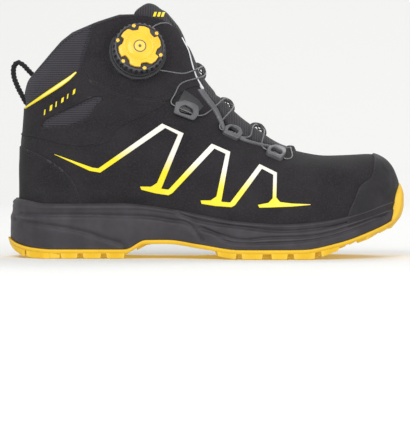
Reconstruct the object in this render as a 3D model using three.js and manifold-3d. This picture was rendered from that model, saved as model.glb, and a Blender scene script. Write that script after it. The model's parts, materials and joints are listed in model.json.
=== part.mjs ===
// A right mid-height safety and hiking boot with a dial lace closure, in millimetres.
// +X runs to the toe, +Z up, and the lateral side, which carries the dial, faces -Y.
// The origin is on the ground under the middle of the boot.
import * as THREE from "three";
import { mergeVertices } from "three/addons/utils/BufferGeometryUtils.js";
import Module from "manifold-3d";

const wasm = await Module();
wasm.setup();

// ---------------------------------------------------------------- driving dimensions

const AXIS_Y = 8; // heel and toe lie on this line; the ball bulges to the lateral side of it
const GAP = 0.3; // clearance between neighbouring pieces
const LATERAL = -1;
const MEDIAL = 1;

// Plan outlines. back and front are the ends; heel, lateral, medial and waist are half widths
// from the axis; the toe is a half ellipse on each side, lateralRun and medialRun long.
const SOLE_PLAN = {
  back: -153.5, front: 153.5, heel: 45, lateral: 66, medial: 50, waist: 27,
  lateralRun: 95, medialRun: 75,
};
const UPPER_PLAN = {
  back: -143, front: 148.5, heel: 37.5, lateral: 60.5, medial: 45.5, waist: 32,
  lateralRun: 92, medialRun: 74,
};
const LATERAL_FLARE = [-45, 48]; // where the lateral edge swings from heel to ball width
const MEDIAL_WAIST_X = -20;
const MEDIAL_FLARE_END = 60;

// Height lines along the boot, as [x, z] knots.
const ground = heightLine([
  [-153.5, 12], [-148, 5.5], [-140, 1.5], [-130, 0], [-62, 0], [-46, 9.5], [-34, 11], [-10, 8],
  [8, 2.5], [24, 0], [80, 0], [100, 6], [125, 15], [142, 23.5], [153.5, 34],
]);
const outsoleTop = heightLine([
  [-153.5, 15.5], [-146, 11], [-134, 8], [-118, 6.8], [-62, 6.8], [-46, 14], [-29, 14.2], [-5, 11],
  [26, 7], [73, 7.2], [102, 12.5], [127, 21], [146, 30], [153.5, 37],
]);
const midsoleTop = heightLine([
  [-153.5, 46], [-140, 44.6], [-122, 41.8], [-64, 42], [-24, 37.4], [27, 28.6], [60, 26.8],
  [92, 29.6], [120, 36.2], [143, 43.4], [153.5, 44.6],
]);
const board = heightLine([
  [-153.5, 29], [-140, 27], [-60, 26], [0, 20], [40, 17], [80, 17], [110, 22], [140, 33], [153.5, 39],
]);
const ridge = heightLine([
  [-143, 96], [-60, 100], [-20, 128], [0, 126], [17, 117.6], [27, 108.6], [45, 95], [62, 83.5],
  [78, 79], [93, 77], [112, 77.6], [128, 78.4], [137, 75], [143, 69], [148.5, 56],
]);

// The shaft round the ankle, by height.
const shaftBack = heightLine([
  [46, -142.5], [68, -143], [86, -141.5], [103, -140], [119, -139], [130, -138.8], [142, -135.5],
  [158, -131], [200, -126],
]);
const shaftFront = heightLine([
  [46, 20], [80, 22], [100, 24], [118, 16], [126.5, 8], [137, -1], [148, -7], [157, -10.5],
  [166, -15.5], [176, -20], [186, -28], [193, -34], [200, -40],
]);
const shaftHalf = heightLine([
  [46, 36], [70, 39], [95, 42], [120, 42.5], [145, 40], [165, 36.5], [185, 33], [200, 31],
]);

const UPPER_WALL = 2.2;
const PADDING = 5.5;
const OVERLAY = 1.4;
const OUTSOLE_BASE = 3.2;
const LACE_D = 1.2;

// The collar edge seen from the side, as [x, z].
const COLLAR_LINE = [
  [-150, 128], [-137, 140.5], [-121, 158], [-112, 167.5], [-103, 174], [-84, 181.8], [-66, 187.6],
  [-50, 188.4], [-34, 185], [-22, 178],
];
// The throat follows the instep from the collar down: [x, z, lateral half width, medial half width].
const THROAT = [
  [-42, 216, 15, 15], [-24, 180, 13, 13], [-15, 164, 13, 13], [-8.5, 152, 16, 14], [0, 137, 20, 14.5],
  [8.5, 127, 22, 15], [18, 117, 22, 15], [27, 108.6, 22, 15], [36, 101, 21, 15], [45, 95, 18.5, 14],
  [53, 89.4, 14, 11], [60, 85, 7, 7],
];

// ---------------------------------------------------------------- curves and plan shapes

// A smooth function through [position, value] knots, flat beyond its ends, that never overshoots.
function heightLine(knots) {
  const rise = (i) => (knots[i + 1][1] - knots[i][1]) / (knots[i + 1][0] - knots[i][0]);
  const slopes = knots.map((_, i) => {
    if (i === 0) return rise(0);
    if (i === knots.length - 1) return rise(i - 1);
    const [a, b] = [rise(i - 1), rise(i)];
    return a * b > 0 ? (2 * a * b) / (a + b) : 0;
  });
  return (x) => {
    if (x <= knots[0][0]) return knots[0][1];
    if (x >= knots.at(-1)[0]) return knots.at(-1)[1];
    const i = knots.findIndex((k) => k[0] > x) - 1;
    const run = knots[i + 1][0] - knots[i][0];
    const t = (x - knots[i][0]) / run;
    const t2 = t * t;
    const t3 = t2 * t;
    return (
      (2 * t3 - 3 * t2 + 1) * knots[i][1] + (t3 - 2 * t2 + t) * run * slopes[i] +
      (3 * t2 - 2 * t3) * knots[i + 1][1] + (t3 - t2) * run * slopes[i + 1]
    );
  };
}

function smooth(from, to, x) {
  return THREE.MathUtils.smoothstep(x, from, to);
}

// The plan with every side moved in by d.
function inset(plan, d) {
  return {
    ...plan,
    back: plan.back + d, front: plan.front - d, heel: plan.heel - d,
    lateral: plan.lateral - d, medial: plan.medial - d, waist: plan.waist - d,
    lateralRun: plan.lateralRun - d, medialRun: plan.medialRun - d,
  };
}

// Half width of a plan at x, from the axis to its lateral or medial edge.
function halfWidth(plan, side, x) {
  const run = side === LATERAL ? plan.lateralRun : plan.medialRun;
  let width;
  if (side === LATERAL) {
    width = THREE.MathUtils.lerp(plan.heel, plan.lateral, smooth(...LATERAL_FLARE, x));
  } else if (x < MEDIAL_WAIST_X) {
    const heelEnd = plan.back + plan.heel;
    width = THREE.MathUtils.lerp(plan.heel, plan.waist, smooth(heelEnd, MEDIAL_WAIST_X, x));
  } else {
    width = THREE.MathUtils.lerp(
      plan.waist, plan.medial, smooth(MEDIAL_WAIST_X, MEDIAL_FLARE_END, x),
    );
  }
  const behind = Math.min(Math.max((plan.back + plan.heel - x) / plan.heel, 0), 1);
  const ahead = Math.min(Math.max((x - plan.front + run) / run, 0), 1);
  return width * Math.sqrt(1 - behind * behind) * Math.sqrt(1 - ahead * ahead);
}

// Position along a plan for a share u from heel to toe, crowded towards both round ends.
function stationX(plan, u) {
  return THREE.MathUtils.lerp(plan.back, plan.front, (1 - Math.cos(Math.PI * u)) / 2);
}

// ---------------------------------------------------------------- solids

// Makes a closed solid from points and triangles, turned to face outwards.
function closed(points, faces) {
  let volume = 0;
  for (const [a, b, c] of faces) {
    const [p, q, r] = [a, b, c].map((i) => new THREE.Vector3(...points[i]));
    volume += p.dot(q.cross(r));
  }
  const geometry = new THREE.BufferGeometry();
  geometry.setAttribute("position", new THREE.Float32BufferAttribute(points.flat(), 3));
  geometry.setIndex(faces.flatMap(([a, b, c]) => (volume > 0 ? [a, b, c] : [a, c, b])));
  const merged = mergeVertices(geometry, 1e-4);
  const kept = [];
  const all = merged.index.array;
  for (let i = 0; i < all.length; i += 3) {
    const [a, b, c] = [all[i], all[i + 1], all[i + 2]];
    if (a !== b && b !== c && c !== a) kept.push(a, b, c);
  }
  return new wasm.Manifold(new wasm.Mesh({
    numProp: 3,
    vertProperties: merged.getAttribute("position").array,
    triVerts: new Uint32Array(kept),
  }));
}

function geometryFrom(made) {
  const mesh = made.getMesh();
  const geometry = new THREE.BufferGeometry();
  geometry.setAttribute("position", new THREE.BufferAttribute(new Float32Array(mesh.vertProperties), 3));
  geometry.setIndex(new THREE.BufferAttribute(new Uint32Array(mesh.triVerts), 1));
  return geometry;
}

// The largest body of a solid, without the slivers and near-flat steps that a cut can leave.
function largest(made) {
  return made.decompose().sort((a, b) => b.volume() - a.volume())[0].asOriginal().simplify(0.01);
}

// A loft from heel to toe. Each level gives a point for a share u along the boot and a side;
// the levels run from the bottom up, and both ends close where the sides meet.
function loft(levels, stations) {
  const points = [];
  const faces = [];
  const at = (i, level, side) => (i * levels.length + level) * 2 + (side === MEDIAL ? 1 : 0);
  for (let i = 0; i <= stations; i++) {
    for (const level of levels) {
      for (const side of [LATERAL, MEDIAL]) points.push(level(i / stations, side));
    }
  }
  const quad = (a, b, c, d) => faces.push([a, b, c], [a, c, d]);
  const top = levels.length - 1;
  for (let i = 0; i < stations; i++) {
    for (let k = 0; k < top; k++) {
      quad(at(i, k, LATERAL), at(i + 1, k, LATERAL), at(i + 1, k + 1, LATERAL), at(i, k + 1, LATERAL));
      quad(at(i, k + 1, MEDIAL), at(i + 1, k + 1, MEDIAL), at(i + 1, k, MEDIAL), at(i, k, MEDIAL));
    }
    quad(at(i, top, LATERAL), at(i + 1, top, LATERAL), at(i + 1, top, MEDIAL), at(i, top, MEDIAL));
    quad(at(i, 0, MEDIAL), at(i + 1, 0, MEDIAL), at(i + 1, 0, LATERAL), at(i, 0, LATERAL));
  }
  return closed(points, faces);
}

// A level of a loft: a plan outline at the height that a line gives.
function flatLevel(plan, height) {
  return (u, side) => {
    const x = stationX(plan, u);
    return [x, AXIS_Y + side * halfWidth(plan, side, x), height(x)];
  };
}

// A stack of closed rings with flat ends.
function ringLoft(rings) {
  const n = rings[0].length;
  const faces = [];
  for (let k = 0; k + 1 < rings.length; k++) {
    for (let i = 0; i < n; i++) {
      const j = (i + 1) % n;
      faces.push([k * n + i, k * n + j, (k + 1) * n + j], [k * n + i, (k + 1) * n + j, (k + 1) * n + i]);
    }
  }
  const last = (rings.length - 1) * n;
  for (let i = 1; i + 1 < n; i++) {
    faces.push([0, i + 1, i], [last, last + i, last + i + 1]);
  }
  return closed(rings.flat(), faces);
}

// A side-view outline of [x, z] points, grown by some distance, run across the boot.
function sidePrism(outline, from = -90, to = 90, grow = 0) {
  let section = new wasm.CrossSection([outline], "NonZero");
  if (section.area() < 1) section = new wasm.CrossSection([[...outline].reverse()], "NonZero");
  if (grow) section = section.offset(grow, "Miter", 2);
  return section.extrude(to - from).rotate([90, 0, 0]).translate([0, to, 0]);
}

// An outline of [a, b] points in any upright or level plane: a along one axis, b along another.
function prism(outline, depth, origin, along, up) {
  const [a, b] = [new THREE.Vector3(...along).normalize(), new THREE.Vector3(...up).normalize()];
  const n = new THREE.Vector3().crossVectors(a, b);
  const matrix = new THREE.Matrix4().makeBasis(a, b, n).setPosition(...origin);
  let section = new wasm.CrossSection([outline], "NonZero");
  if (section.area() < 1e-6) section = new wasm.CrossSection([[...outline].reverse()], "NonZero");
  return section.extrude(depth).transform(matrix.toArray());
}

function box(low, high) {
  return wasm.Manifold.cube(high.map((v, i) => v - low[i])).translate(low);
}

function union(solids) {
  return wasm.Manifold.union(solids);
}

// A round cord along a smooth line.
function cordSolid(line, radius, { sides = 6, steps = line.length * 2 } = {}) {
  const curve = new THREE.CatmullRomCurve3(line.map((p) => new THREE.Vector3(...p)), false, "centripetal");
  const frames = curve.computeFrenetFrames(steps);
  const rings = [];
  for (let i = 0; i <= steps; i++) {
    const at = curve.getPointAt(i / steps);
    const ring = [];
    for (let k = 0; k < sides; k++) {
      const a = (2 * Math.PI * k) / sides;
      ring.push(at.clone()
        .addScaledVector(frames.normals[i], radius * Math.cos(a))
        .addScaledVector(frames.binormals[i], radius * Math.sin(a)).toArray());
    }
    rings.push(ring);
  }
  return ringLoft(rings);
}

// ---------------------------------------------------------------- the body of the upper

const FOOT_STATIONS = 22;
const FOOT_LEVELS = 7;
const SHAFT_SIDES = 26;
const SHAFT_HEIGHTS = [46, 66, 86, 104, 120, 136, 152, 166, 180, 192, 202];

// How boxy the section is: a full toe box, and a peaked instep.
function crown(x) {
  const toe = smooth(45, 105, x);
  return { rise: THREE.MathUtils.lerp(1.9, 4.4, toe), width: THREE.MathUtils.lerp(1.65, 2.3, toe) };
}

// The ridge of the instep lies to the medial side, and that of the toe to the lateral side.
function ridgeShift(x) {
  return THREE.MathUtils.lerp(8, -4, smooth(30, 105, x));
}

// The foot part of the upper, moved in by d all round; its open bottom reaches down by sink.
function footBody(d, sink = 0) {
  const plan = inset(UPPER_PLAN, d);
  const levels = [];
  if (sink > 0) levels.push(flatLevel(plan, (x) => board(x) - sink));
  for (let k = 0; k <= FOOT_LEVELS; k++) {
    const angle = (Math.PI / 2) * (k / FOOT_LEVELS);
    levels.push((u, side) => {
      const x = stationX(plan, u);
      const { rise, width } = crown(x);
      const s = Math.sin(angle) ** (2 / rise);
      const c = k === FOOT_LEVELS ? 0 : Math.cos(angle) ** (2 / width);
      const y = AXIS_Y + ridgeShift(x) * s + side * halfWidth(plan, side, x) * c;
      return [x, y, board(x) + (ridge(x) - d - board(x)) * s];
    });
  }
  return loft(levels, FOOT_STATIONS);
}

// The shaft round the ankle, moved in by d all round.
function shaftBody(d) {
  return ringLoft(SHAFT_HEIGHTS.map((z) => {
    const back = shaftBack(z) + d;
    const front = shaftFront(z) - d;
    const half = shaftHalf(z) - d;
    const ring = [];
    for (let i = 0; i < SHAFT_SIDES; i++) {
      const a = (2 * Math.PI * i) / SHAFT_SIDES;
      const reach = Math.sign(Math.cos(a)) * Math.abs(Math.cos(a)) ** (2 / 2.3);
      const wide = Math.sign(Math.sin(a)) * Math.abs(Math.sin(a)) ** (2 / 2.3);
      ring.push([(back + front) / 2 + ((front - back) / 2) * reach, AXIS_Y + half * wide, z]);
    }
    return ring;
  }));
}

const bodies = new Map();
function bodySolid(d, sink = 0) {
  const key = `${d} ${sink}`;
  if (!bodies.has(key)) bodies.set(key, footBody(d, sink).add(shaftBody(d)));
  return bodies.get(key);
}

// Half width of the outside of the body at a point of the side view.
function bodyHalf(side, x, z) {
  const plan = UPPER_PLAN;
  const { rise, width } = crown(x);
  const s = (z - board(x)) / (ridge(x) - board(x));
  let foot = -99;
  if (s < 1 && x > plan.back && x < plan.front) {
    foot = halfWidth(plan, side, x) * (1 - Math.max(s, 0) ** rise) ** (1 / width) +
      side * ridgeShift(x) * Math.max(s, 0);
  }
  const [back, front] = [shaftBack(z), shaftFront(z)];
  const reach = Math.abs((x - (back + front) / 2) / ((front - back) / 2));
  const shaft = z > 46 && reach < 1 ? shaftHalf(z) * (1 - reach ** 2.3) ** (1 / 2.3) : -99;
  return Math.max(foot, shaft);
}

// A point of the side view on the body's surface, a little way out.
function sidePoint(side, x, z, out) {
  return [x, AXIS_Y + side * (bodyHalf(side, x, z) + out), z];
}

// The point where a line from inside the body reaches its surface, a little way further out.
function skinPoint(inside, through, out) {
  const from = new THREE.Vector3(...inside);
  const direction = new THREE.Vector3(...through).sub(from).normalize();
  const within = (t) => {
    const p = from.clone().addScaledVector(direction, t);
    return Math.abs(p.y - AXIS_Y) < bodyHalf(p.y < AXIS_Y ? LATERAL : MEDIAL, p.x, p.z);
  };
  let [low, high] = [0, 0];
  while (within(high) && high < 150) high += 2;
  low = high - 2;
  for (let i = 0; i < 12; i++) {
    const middle = (low + high) / 2;
    if (within(middle)) low = middle;
    else high = middle;
  }
  return from.addScaledVector(direction, low + out).toArray();
}

// ---------------------------------------------------------------- the throat

const throatCurve = new THREE.CatmullRomCurve3(THROAT.map(([x, z]) => new THREE.Vector3(x, 0, z)), false, "centripetal");

// The throat as a solid, grown by some distance, through the whole instep.
function throatSolid(grow) {
  const rings = THROAT.map(([x, z, lateral, medial], i) => {
    const before = THROAT[Math.max(i - 1, 0)];
    const after = THROAT[Math.min(i + 1, THROAT.length - 1)];
    const along = new THREE.Vector2(after[0] - before[0], after[1] - before[1]).normalize();
    const out = [-along.y, along.x];
    const end = i === THROAT.length - 1 ? grow : 0;
    const at = (depth) => [x + along.x * end + out[0] * depth, z + along.y * end + out[1] * depth];
    const [low, high] = [at(-26), at(26)];
    const [left, right] = [AXIS_Y - lateral - grow, AXIS_Y + medial + grow];
    return [[low[0], left, low[1]], [high[0], left, high[1]], [high[0], right, high[1]], [low[0], right, low[1]]];
  });
  return ringLoft(rings);
}

// A point on the throat's surface: a share along it, a distance across and out.
function throatPoint(u, across, out) {
  const p = throatCurve.getPointAt(u);
  const t = throatCurve.getTangentAt(u);
  const inside = [p.x + t.z * 34, AXIS_Y, p.z - t.x * 34];
  return skinPoint(inside, [p.x, AXIS_Y + across, p.z], out);
}

const aboveCollar = [...COLLAR_LINE, [-6, 172], [40, 172], [40, 260], [-150, 260]];
const cuts = sidePrism(aboveCollar).add(throatSolid(0));

// The shell between two depths; below it stays open.
function shell(outer, inner) {
  return bodySolid(outer).subtract(bodySolid(inner, 20));
}

// ---------------------------------------------------------------- the model

const boot = new THREE.Group();
const looks = {
  nubuck: { color: 0x2e2d30, roughness: 0.85 },
  textile: { color: 0x3a393d, roughness: 0.95 },
  rubber_black: { color: 0x333237, roughness: 0.6 },
  foam_black: { color: 0x46454a, roughness: 0.65 },
  rubber_yellow: { color: 0xe0ae0c, roughness: 0.55 },
  plastic_black: { color: 0x3c3b40, roughness: 0.45 },
  plastic_yellow: { color: 0xf6c21c, roughness: 0.4 },
  print: { color: 0xf3e21d, roughness: 0.5 },
  reflective: { color: 0xdcdce0, roughness: 0.35 },
  composite: { color: 0x55585c, roughness: 0.5 },
  steel: { color: 0x8c8c90, roughness: 0.3, metalness: 0.9 },
  webbing: { color: 0x18181a, roughness: 0.9 },
};
const materials = {};
for (const [name, look] of Object.entries(looks)) {
  materials[name] = new THREE.MeshStandardMaterial(look);
}

function addSolid(name, made, material) {
  const mesh = new THREE.Mesh(geometryFrom(largest(made)), materials[material]);
  mesh.name = name;
  boot.add(mesh);
}

const SIDES = [["lateral", [-100, AXIS_Y - GAP / 2]], ["medial", [AXIS_Y + GAP / 2, 100]]];

// ---------------------------------------------------------------- sole unit

// A lug outline: a four-armed star with hollow sides.
function starLug(x, y, size, turn) {
  const points = [];
  for (let i = 0; i < 8; i++) {
    const r = i % 2 ? size * 0.42 : size;
    const a = turn + (Math.PI / 4) * i;
    points.push([x + r * Math.cos(a), y + r * Math.sin(a)]);
  }
  return points;
}

// A curved block: part of a ring about a point of the axis.
function ringLug(x, end, inner, outer, from, to) {
  const corner = (r, a) => [x + end * r * Math.cos(a), AXIS_Y + r * Math.sin(a) * 1.12];
  const middle = (from + to) / 2;
  return [
    corner(inner, from), corner(inner, middle), corner(inner, to),
    corner(outer, to), corner(outer, middle), corner(outer, from),
  ];
}

const LUG_PITCH = 20;
const LUG_SIZE = 11.5;
const RING_LUGS = [
  { end: -1, centre: -108, inner: 7, pitch: 13, rings: 3, reach: 1.2, blocks: 4 },
  { end: 1, centre: 108, inner: 10, pitch: 12.5, rings: 3, reach: 1.1, blocks: 4 },
];

function lugOutlines() {
  const outlines = [];
  for (let i = 0; i * LUG_PITCH < 200; i++) {
    const x = -94 + i * LUG_PITCH;
    const lateral = AXIS_Y - halfWidth(SOLE_PLAN, LATERAL, x) + 7;
    const medial = AXIS_Y + halfWidth(SOLE_PLAN, MEDIAL, x) - 7;
    const across = Math.max(2, Math.round((medial - lateral) / LUG_PITCH));
    for (let j = 0; j <= across; j++) {
      const y = THREE.MathUtils.lerp(lateral, medial, j / across);
      outlines.push(starLug(x + (j % 2 ? 3 : -3), y, LUG_SIZE, 0.3 + 0.45 * ((i + j) % 2)));
    }
  }
  for (const { end, centre, inner, pitch, rings, reach, blocks } of RING_LUGS) {
    for (let ring = 0; ring < rings; ring++) {
      const r = inner + pitch * (ring + 0.6);
      for (let j = 0; j < blocks; j++) {
        const [from, to] = [j, j + 1].map((k) => THREE.MathUtils.lerp(-reach, reach, k / blocks));
        outlines.push(ringLug(centre, end, r, r + pitch - 3.2, from + 1 / r, to - 1 / r));
      }
    }
  }
  return outlines;
}

const lift = (line, by) => (x) => line(x) + by;

// The outsole rubber runs up over the front of the toe as a tapering tongue.
const TOE_GUARD_FRONT = heightLine([[20, 143], [27, 149], [32, 152], [40, 153.4], [47, 152.6], [56.5, 149.6]]);
const TOE_GUARD_OUTLINE = [
  [-30, 18], [-23, 34], [-16, 50], [-9, 56], [9, 56], [16, 50], [23, 34], [30, 18],
];

function toeGuard() {
  const rings = [18, 25, 32, 40, 48, 56.5].map((z) => {
    const ring = [];
    for (let i = 0; i <= 10; i++) {
      const a = THREE.MathUtils.lerp(-0.8, 0.8, i / 10);
      ring.push([TOE_GUARD_FRONT(z) - 62 + 62 * Math.cos(a), AXIS_Y + 62 * Math.sin(a), z]);
    }
    return [...ring, [100, AXIS_Y + 44, z], [100, AXIS_Y - 44, z]];
  });
  const front = prism(TOE_GUARD_OUTLINE, 80, [90, AXIS_Y, 0], [0, 1, 0], [0, 0, 1]);
  return ringLoft(rings).intersect(front)
    .subtract(midsoleBlock(0.7))
    .subtract(bodySolid(-GAP - OVERLAY - 0.5, 20))
    .intersect(box([120, -60, 18], [160, 60, 60]));
}

function outsole() {
  const edge = SOLE_PLAN;
  const base = loft([
    flatLevel(inset(edge, 1), lift(outsoleTop, -OUTSOLE_BASE)), flatLevel(edge, outsoleTop),
  ], 34);
  const block = loft([
    flatLevel(inset(edge, 0.6), ground), flatLevel(inset(edge, 0.2), lift(outsoleTop, -1)),
  ], 34);
  const lugs = union(lugOutlines().map((o) => prism(o, 60, [0, 0, -10], [1, 0, 0], [0, 1, 0])));
  return base.add(block.intersect(lugs)).add(toeGuard());
}

// Share of the midsole's height, and how far its wall lies in at the heel and at the toe.
const MIDSOLE_LEVELS = [[0, 1.2, 1.6], [0.3, 1.4, 1.8], [0.75, 3.4, 2.8], [1, 6.4, 3.4]];

function midsoleBlock(out = 0) {
  return loft(MIDSOLE_LEVELS.map(([share, heel, toe]) => {
    const plan = {
      ...inset(SOLE_PLAN, (heel + toe) / 2 - out),
      back: SOLE_PLAN.back + heel - out, front: SOLE_PLAN.front - toe + out,
      waist: SOLE_PLAN.waist + 8 * share + out,
    };
    const low = (x) => outsoleTop(x) + GAP + 0.15 - out;
    const high = (x) => midsoleTop(x) + out;
    return flatLevel(plan, (x) => THREE.MathUtils.lerp(low(x), high(x), share));
  }), 34);
}

addSolid("outsole", outsole(), "rubber_yellow");
addSolid("midsole", midsoleBlock().subtract(bodySolid(-GAP, 2 * GAP)), "foam_black");

// The lasting board with its puncture-resistant layer, and the footbed on it.
function insole(low, high, d) {
  const plan = inset(UPPER_PLAN, d);
  return loft([flatLevel(plan, lift(board, low)), flatLevel(plan, lift(board, high))], 26);
}
const STIFFENER = 2.2;
const INNER = UPPER_WALL + GAP + STIFFENER; // depth of the inside faces of the stiffeners
addSolid("puncture_plate", insole(0.4, 2.8, INNER + 1.2), "composite");
addSolid("footbed", insole(3.2, 8.2, INNER + 2.4), "textile");

// ---------------------------------------------------------------- upper panels

const BUMPER_LINE = [[107, 20], [108, 33], [113, 45], [117.5, 55], [126, 62], [128.5, 69], [129.5, 90]];
const HEEL_LINE = [[-90, 36], [-95.5, 43], [-99, 55], [-107, 66], [-121, 76], [-133, 82], [-150, 88]];
const COLLAR_PANEL = [
  [-155, 112], [-137, 115.5], [-118, 127], [-98, 144], [-94, 150], [-92, 158], [-88, 170], [-85, 200],
  [-155, 200],
];
const ANKLE_WINDOW = [
  [-124, 105.5], [-112, 110.5], [-98, 118], [-83, 124], [-79, 121.5], [-88, 112.5], [-99, 105.5], [-112, 102.5],
];
const TOE_SEAM_X = 63;

const skin = shell(0, UPPER_WALL).subtract(cuts);
addSolid("vamp", skin.intersect(box([TOE_SEAM_X, -100, 0], [200, 100, 200])), "nubuck");
const rear = skin.intersect(box([-200, -100, 0], [TOE_SEAM_X - GAP, 100, 230]));
for (const [name, range] of SIDES) {
  const half = rear.intersect(box([-200, range[0], 0], [200, range[1], 230]));
  addSolid(`quarter_${name}`,
    half.subtract(sidePrism(COLLAR_PANEL, -90, 90, GAP)).subtract(sidePrism(ANKLE_WINDOW, -90, 90, GAP)),
    "nubuck");
  addSolid(`collar_${name}`, half.intersect(sidePrism(COLLAR_PANEL)), "textile");
  addSolid(`ankle_window_${name}`, half.intersect(sidePrism(ANKLE_WINDOW)), "textile");
}

const overlay = bodySolid(-GAP - OVERLAY).subtract(bodySolid(-GAP, 20));
const clearOfMidsole = midsoleBlock(0.7);
const toeArea = [...BUMPER_LINE, [170, 90], [170, 20]];
const heelArea = [...HEEL_LINE, [-170, 90], [-170, 20]];
addSolid("toe_bumper", overlay.intersect(sidePrism(toeArea)).subtract(clearOfMidsole), "rubber_black");
addSolid("heel_counter", overlay.intersect(sidePrism(heelArea)).subtract(clearOfMidsole), "nubuck");

// Stiff inserts between the skin and the lining.
const inserts = shell(UPPER_WALL + GAP, INNER);
addSolid("toe_cap_insert", inserts.intersect(box([94, -100, 0], [200, 100, 100])), "composite");
addSolid("heel_stiffener", inserts.intersect(box([-200, -100, 0], [-86, 100, 88])), "composite");

// The padded collar lines the shaft from the ankle up.
addSolid("collar_padding", shell(UPPER_WALL + GAP, UPPER_WALL + GAP + PADDING)
  .subtract(cuts).intersect(box([-200, -100, 92], [4, 100, 230])), "textile");

// Soft gussets close the lower throat on both sides, under the edges of the quarters.
const gussets = shell(UPPER_WALL + GAP, UPPER_WALL + GAP + 1.1)
  .intersect(throatSolid(9)).subtract(throatSolid(0.3)).intersect(box([4.5, -100, 60], [58, 100, 160]));
for (const [name, range] of SIDES) {
  addSolid(`gusset_${name}`, gussets.intersect(box([0, range[0], 0], [100, range[1], 200])), "textile");
}

// ---------------------------------------------------------------- tongue

const TONGUE_THICK = 7;
const TONGUE_CLEARANCE = 1;
const TONGUE_TOP = [
  [-53, 190.3], [-47.5, 195], [-43, 197.2], [-38, 196.4], [-33, 192.6], [-10, 192], [-10, 172.7],
  [-5.5, 172.7], [-22, 178.8], [-34, 185.8], [-50, 189.2],
];
const tongueShell = bodySolid(0).subtract(bodySolid(TONGUE_THICK, 20)).intersect(box([-60, -60, 70], [60, 60, 230]));
const belowTop = sidePrism([[-60, 60], [-60, 190], [-47.5, 195], [-43, 197.2], [-38, 196.4], [-33, 192.6], [80, 192], [80, 60]]);
addSolid("tongue", tongueShell.intersect(belowTop)
  .intersect(throatSolid(-TONGUE_CLEARANCE).add(sidePrism(TONGUE_TOP))), "textile");

// ---------------------------------------------------------------- trims and the printed line

// A strip along a side-view line; width is a number or a function of the share along it.
function stripOutline(line, width) {
  const curve = new THREE.CatmullRomCurve3(line.map(([x, z]) => new THREE.Vector3(x, z, 0)), false, "centripetal");
  const steps = line.length * 2;
  const edges = [];
  for (let i = 0; i <= steps; i++) {
    const [p, t] = [curve.getPointAt(i / steps), curve.getTangentAt(i / steps)];
    const half = width(i / steps) / 2;
    edges.push([[p.x - t.y * half, p.y + t.x * half], [p.x + t.y * half, p.y - t.x * half]]);
  }
  return [...edges.map((e) => e[0]), ...edges.map((e) => e[1]).reverse()];
}

const film = bodySolid(-0.95).subtract(bodySolid(-GAP, 20));
const trim = bodySolid(-1.1).subtract(bodySolid(-GAP, 20));
const PIPING = [[-139, 114.6], [-125, 124], [-112, 132], [-104, 138], [-99, 142]];
const PRINT_WIDTH = 3.4;
// The zigzag print as its centre line, and the short feet at its low corners.
const ZIGZAG = [
  [-119, 81.5], [-83, 67], [-33, 102.5], [-18.5, 96], [-38.5, 55.5], [-29, 49.5], [5, 87], [17.5, 81],
  [8.5, 46], [19, 41.5], [40.5, 71.5], [53.5, 65.5], [53, 43],
];
const FEET = [[[-50, 55], [-29, 50]], [[-3.5, 44.5], [19, 41.5]], [[40, 42], [79.5, 43]]];

// Straight bars of the print's width, joined into one solid.
function printPrism(line, range) {
  const bars = [];
  for (let i = 0; i + 1 < line.length; i++) {
    const [a, b] = [line[i], line[i + 1]].map(([x, z]) => new THREE.Vector2(x, z));
    const along = b.clone().sub(a).normalize().multiplyScalar(PRINT_WIDTH / 2);
    const across = new THREE.Vector2(-along.y, along.x);
    const [start, end] = [i > 0 ? a.clone().sub(along) : a, b.clone().add(along)];
    const corners = [
      start.clone().sub(across), end.clone().sub(across), end.clone().add(across), start.clone().add(across),
    ];
    bars.push(sidePrism(corners.map((p) => [p.x, p.y]), ...range));
  }
  return union(bars);
}

for (const [name, range] of SIDES) {
  const print = union([printPrism(ZIGZAG, range), ...FEET.map((foot) => printPrism(foot, range))]);
  addSolid(`graphic_${name}`, film.intersect(print).subtract(clearOfMidsole), "print");
  addSolid(`piping_${name}`, trim.intersect(
    sidePrism(stripOutline(PIPING, (t) => 1.4 + 2 * Math.sin(Math.PI * t)), ...range)), "print");
}
const edging = trim.intersect(throatSolid(3)).subtract(throatSolid(0.8));
addSolid("reflective_strip", edging.intersect(box([-40, -60, 136], [10, AXIS_Y, 170])), "reflective");
addSolid("eyestay_lateral", edging.intersect(box([-20, -60, 70], [56, AXIS_Y - 4, 135])), "plastic_black");
addSolid("eyestay_medial", edging.intersect(box([-40, AXIS_Y + 4, 70], [56, 60, 168])), "plastic_black");

// ---------------------------------------------------------------- lace guides and lace

// The lateral guides in the side view: the middle of each, its tilt, and the window through it.
const GUIDES = [
  { at: [-15.4, 112], tilt: -0.42 }, { at: [20.8, 95.6], tilt: -0.42 }, { at: [54, 79.6], tilt: -0.5 },
];
const GUIDE_LONG = 19;
const GUIDE_HIGH = 10.5;

function placed([x, z], tilt, outline) {
  return outline.map(([a, b]) => [
    x + a * Math.cos(tilt) - b * Math.sin(tilt), z + a * Math.sin(tilt) + b * Math.cos(tilt),
  ]);
}

function guidePrism({ at, tilt }, range) {
  const [a, b] = [GUIDE_LONG / 2, GUIDE_HIGH / 2];
  const outer = [
    [-a, -b * 0.2], [-a * 0.86, b * 0.8], [-a * 0.6, b], [a * 0.6, b], [a * 0.86, b * 0.8], [a, -b * 0.2],
    [a * 0.7, -b], [-a * 0.7, -b],
  ];
  const window = [[-a * 0.45, -1.6], [-a * 0.3, 0.9], [a * 0.3, 0.9], [a * 0.45, -1.6], [0, -2.3]];
  return sidePrism(placed(at, tilt, outer), ...range).subtract(sidePrism(placed(at, tilt, window), ...range));
}

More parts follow.
